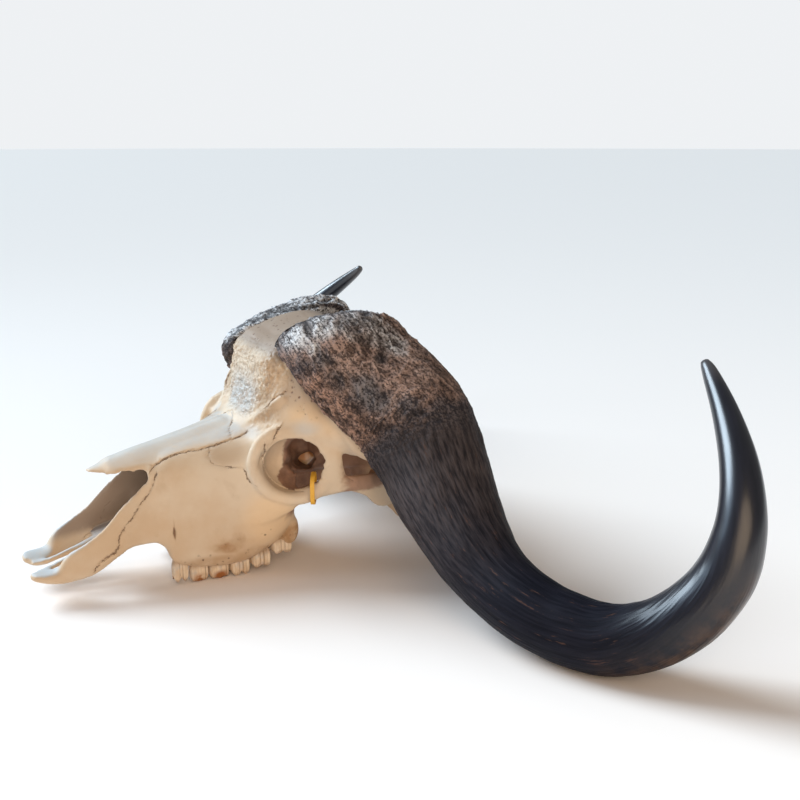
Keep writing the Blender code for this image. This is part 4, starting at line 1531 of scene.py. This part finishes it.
def floor_material(settings):
    material, tree, shader = new_material("pale_floor")
    cloud = noise_node(tree, object_place(tree), 0.8, 2)
    colour = mix_colour(tree, times(tree, cloud, 0.03), settings.floor, FLOOR_SHADE)
    set_inputs(tree, shader, {"Base Color": colour, "Roughness": 0.9})
    return material


def finish_piece(body, material, slot, *nodes):
    body.data.materials.clear()
    body.data.materials.append(material)
    only(body)
    bpy.ops.object.shade_smooth()
    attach(body, "root")
    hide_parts(*nodes)


class SkullSizes(PropertyGroup):
    """Fineness of the meshes and strength of the light"""

    bone_voxel: FloatProperty(
        name="Bone fineness",
        description="Width of the bone mesh's faces",
        default=0.0020,
        min=0.001,
        subtype="DISTANCE",
        unit="LENGTH",
    )
    bone_share: FloatProperty(
        name="Bone faces kept",
        description="Share of the bone mesh's faces kept on smooth bone",
        default=0.42,
        min=0.1,
        max=1,
    )
    horn_fineness: FloatProperty(
        name="Horn fineness",
        description="Density of the horn mesh's faces",
        default=1.0,
        min=0.1,
        max=1,
    )
    light_scale: FloatProperty(
        name="Light",
        description="Strength of all lamps together",
        default=1.0,
        min=0.0,
    )


class SkullColours(PropertyGroup):
    """Main tones of bone, horn, enamel, strap and floor"""

    bone_light: FloatVectorProperty(
        name="Pale bone",
        description="Clean bleached bone",
        default=(0.70, 0.56, 0.41),
        subtype="COLOR",
    )
    bone_warm: FloatVectorProperty(
        name="Warm bone",
        description="Bone with some grease left in it",
        default=(0.62, 0.44, 0.28),
        subtype="COLOR",
    )
    # The tone of the painted highlight, bluish-white where bone faces the light
    bone_highlight: FloatVectorProperty(
        name="Highlight on bone",
        description="Painted highlight where bone faces the light",
        default=(0.50, 0.535, 0.55),
        subtype="COLOR",
    )
    horn_brown: FloatVectorProperty(
        name="Boss brown",
        description="Weathered horn on the bosses",
        default=(0.43, 0.262, 0.192),
        subtype="COLOR",
    )
    # Dried fibres' tone, also used as painted light on the boss tops
    horn_frost_lit: FloatVectorProperty(
        name="Boss grey",
        description="Dried fibres on top of the bosses, painted lighter where light falls",
        default=(0.76, 0.75, 0.75),
        subtype="COLOR",
    )
    tooth_light: FloatVectorProperty(
        name="Enamel",
        description="Clean enamel",
        default=(0.86, 0.71, 0.54),
        subtype="COLOR",
    )
    strap: FloatVectorProperty(
        name="Strap",
        description="The strap's plastic",
        default=(0.90, 0.50, 0.05),
        subtype="COLOR",
    )
    floor: FloatVectorProperty(
        name="Floor",
        description="The floor",
        default=(0.97, 0.89, 0.83),
        subtype="COLOR",
    )


class SKULL_OT_bone(Operator):
    """Model the bone of the skull"""

    bl_idname = "skull.bone"
    bl_label = "Bone"

    def execute(self, context):
        sizes = context.scene.skull_sizes
        voxel = sizes.bone_voxel * 1
        bone = make_bone(voxel, sizes.bone_share)
        rugged_bone(bone)
        paint_bone(bone)
        finish_piece(bone, bone_material(context.scene.skull_colours), "bone", "skull")
        return {"FINISHED"}


class SKULL_OT_horns(Operator):
    """Model the two horn sheaths"""

    bl_idname = "skull.horns"
    bl_label = "Horns"

    def execute(self, context):
        sizes = context.scene.skull_sizes
        fineness = sizes.horn_fineness * 1
        material = horn_material(context.scene.skull_colours)
        for name, rows, side, squareness, hand, seed in (
            ("left", LEFT_BOSS + HORN + LEFT_TIP, LEFT_SIDE, LEFT_SQUARENESS, 1, 100),
            ("right", RIGHT_BOSS + HORN + RIGHT_TIP, RIGHT_SIDE, RIGHT_SQUARENESS, -1, 200),
        ):
            horn, straight = make_horn(f"sheath_{name}", rows, side, squareness, hand, fineness)
            carve_horn(horn, straight, hand, seed)
            finish_piece(horn, material, "horn", f"horn_{name}")
        return {"FINISHED"}


class SKULL_OT_teeth(Operator):
    """Model the cheek teeth"""

    bl_idname = "skull.teeth"
    bl_label = "Cheek teeth"

    def execute(self, context):
        material = tooth_material(context.scene.skull_colours)
        start = TOOTH_ROW_FRONT
        for i, row in enumerate(TEETH):
            for hand, side in ((1, "left"), (-1, "right")):
                seed = 300 + 7 * i + hand
                tooth = make_tooth(f"crown_{row[0]}_{side}", start, row, hand < 0, seed)
                finish_piece(tooth, material, "tooth", f"{row[0]}_{side}")
            start += row[1]
        return {"FINISHED"}


class SKULL_OT_strap(Operator):
    """Model the strap round the bar under the left eye socket"""

    bl_idname = "skull.strap"
    bl_label = "Strap"

    def execute(self, context):
        strap = make_strap()
        finish_piece(strap, strap_material(context.scene.skull_colours), "strap", "tag_strap")
        return {"FINISHED"}


def add_facing(name, data, direction, place=(0, 0, 0)):
    """A lamp or camera at that place, which faces in that direction."""
    item = bpy.data.objects.new(name, data)
    bpy.context.scene.collection.objects.link(item)
    item.location = place
    item.rotation_euler = Vector(direction).to_track_quat("-Z", "Y").to_euler()
    return item


def add_floor(settings):
    bpy.ops.object.select_all(action="DESELECT")
    bpy.ops.mesh.primitive_circle_add(vertices=96, radius=30, fill_type="NGON", location=(0, 0, 0))
    floor = bpy.context.object
    floor.name = "floor"
    floor.data.materials.append(floor_material(settings))


def add_lights(strength):
    """Soft daylight from one side, a warm lamp and a cool one."""
    for name, place, target, size, watts, colour in LAMPS:
        lamp = bpy.data.lights.new(name, "AREA")
        lamp.shape = "DISK"
        lamp.size = size
        lamp.energy = watts * strength
        lamp.color = colour
        add_facing(name, lamp, Vector(target) - Vector(place), place)
    direction, breadth, energy, colour = DAYLIGHT
    window = bpy.data.lights.new("window", "SUN")
    window.angle = math.radians(breadth)
    window.energy = energy * strength
    window.color = colour
    add_facing("window", window, direction)


def pale_room():
    """Pale walls all round, which the camera sees brighter than they shine."""
    world = bpy.data.worlds.new("pale_room")
    world.use_nodes = True
    tree = world.node_tree
    seen = add(tree, "ShaderNodeLightPath").outputs["Is Camera Ray"]
    room = {"Strength": ramp(tree, seen, 0, 1, 0.24, 1.0), "Color": ROOM_COLOUR}
    set_inputs(tree, tree.nodes["Background"], room)
    return world


def add_camera():
    data = bpy.data.cameras.new("photo_camera")
    data.lens = 45
    data.sensor_width = 36
    data.clip_end = 100
    return add_facing("photo_camera", data, CAMERA_AIM, in_metres(CAMERA_PLACE))


class SKULL_OT_stage(Operator):
    """Add the floor, the light and the camera"""

    bl_idname = "skull.stage"
    bl_label = "Floor, light and camera"

    def execute(self, context):
        scene = context.scene
        add_floor(scene.skull_colours)
        add_lights(scene.skull_sizes.light_scale)
        scene.world = pale_room()
        scene.view_settings.view_transform = "Standard"
        scene.camera = add_camera()
        return {"FINISHED"}


class SKULL_PT_panel(Panel):
    """Lists the skull's steps and its settings"""

    bl_label = "Buffalo Skull"
    bl_idname = "SKULL_PT_panel"
    bl_space_type = "VIEW_3D"
    bl_region_type = "UI"
    bl_category = "Skull"

    def draw(self, context):
        column = self.layout.column()
        for operator in OPERATORS:
            column.operator(operator.bl_idname)
        for group in (context.scene.skull_sizes, context.scene.skull_colours):
            for name in group.__annotations__:
                column.prop(group, name)


OPERATORS = (SKULL_OT_bone, SKULL_OT_horns, SKULL_OT_teeth, SKULL_OT_strap, SKULL_OT_stage)
CLASSES = (SkullSizes, SkullColours, *OPERATORS, SKULL_PT_panel)


def register():
    for item in CLASSES:
        bpy.utils.register_class(item)
    bpy.types.Scene.skull_sizes = PointerProperty(type=SkullSizes)
    bpy.types.Scene.skull_colours = PointerProperty(type=SkullColours)


def unregister():
    del bpy.types.Scene.skull_colours
    del bpy.types.Scene.skull_sizes
    for item in reversed(CLASSES):
        bpy.utils.unregister_class(item)


def main():
    register()
    bpy.ops.skull.bone()
    bpy.ops.skull.horns()
    bpy.ops.skull.teeth()
    bpy.ops.skull.strap()
    bpy.ops.skull.stage()


if __name__ == "__main__":
    main()
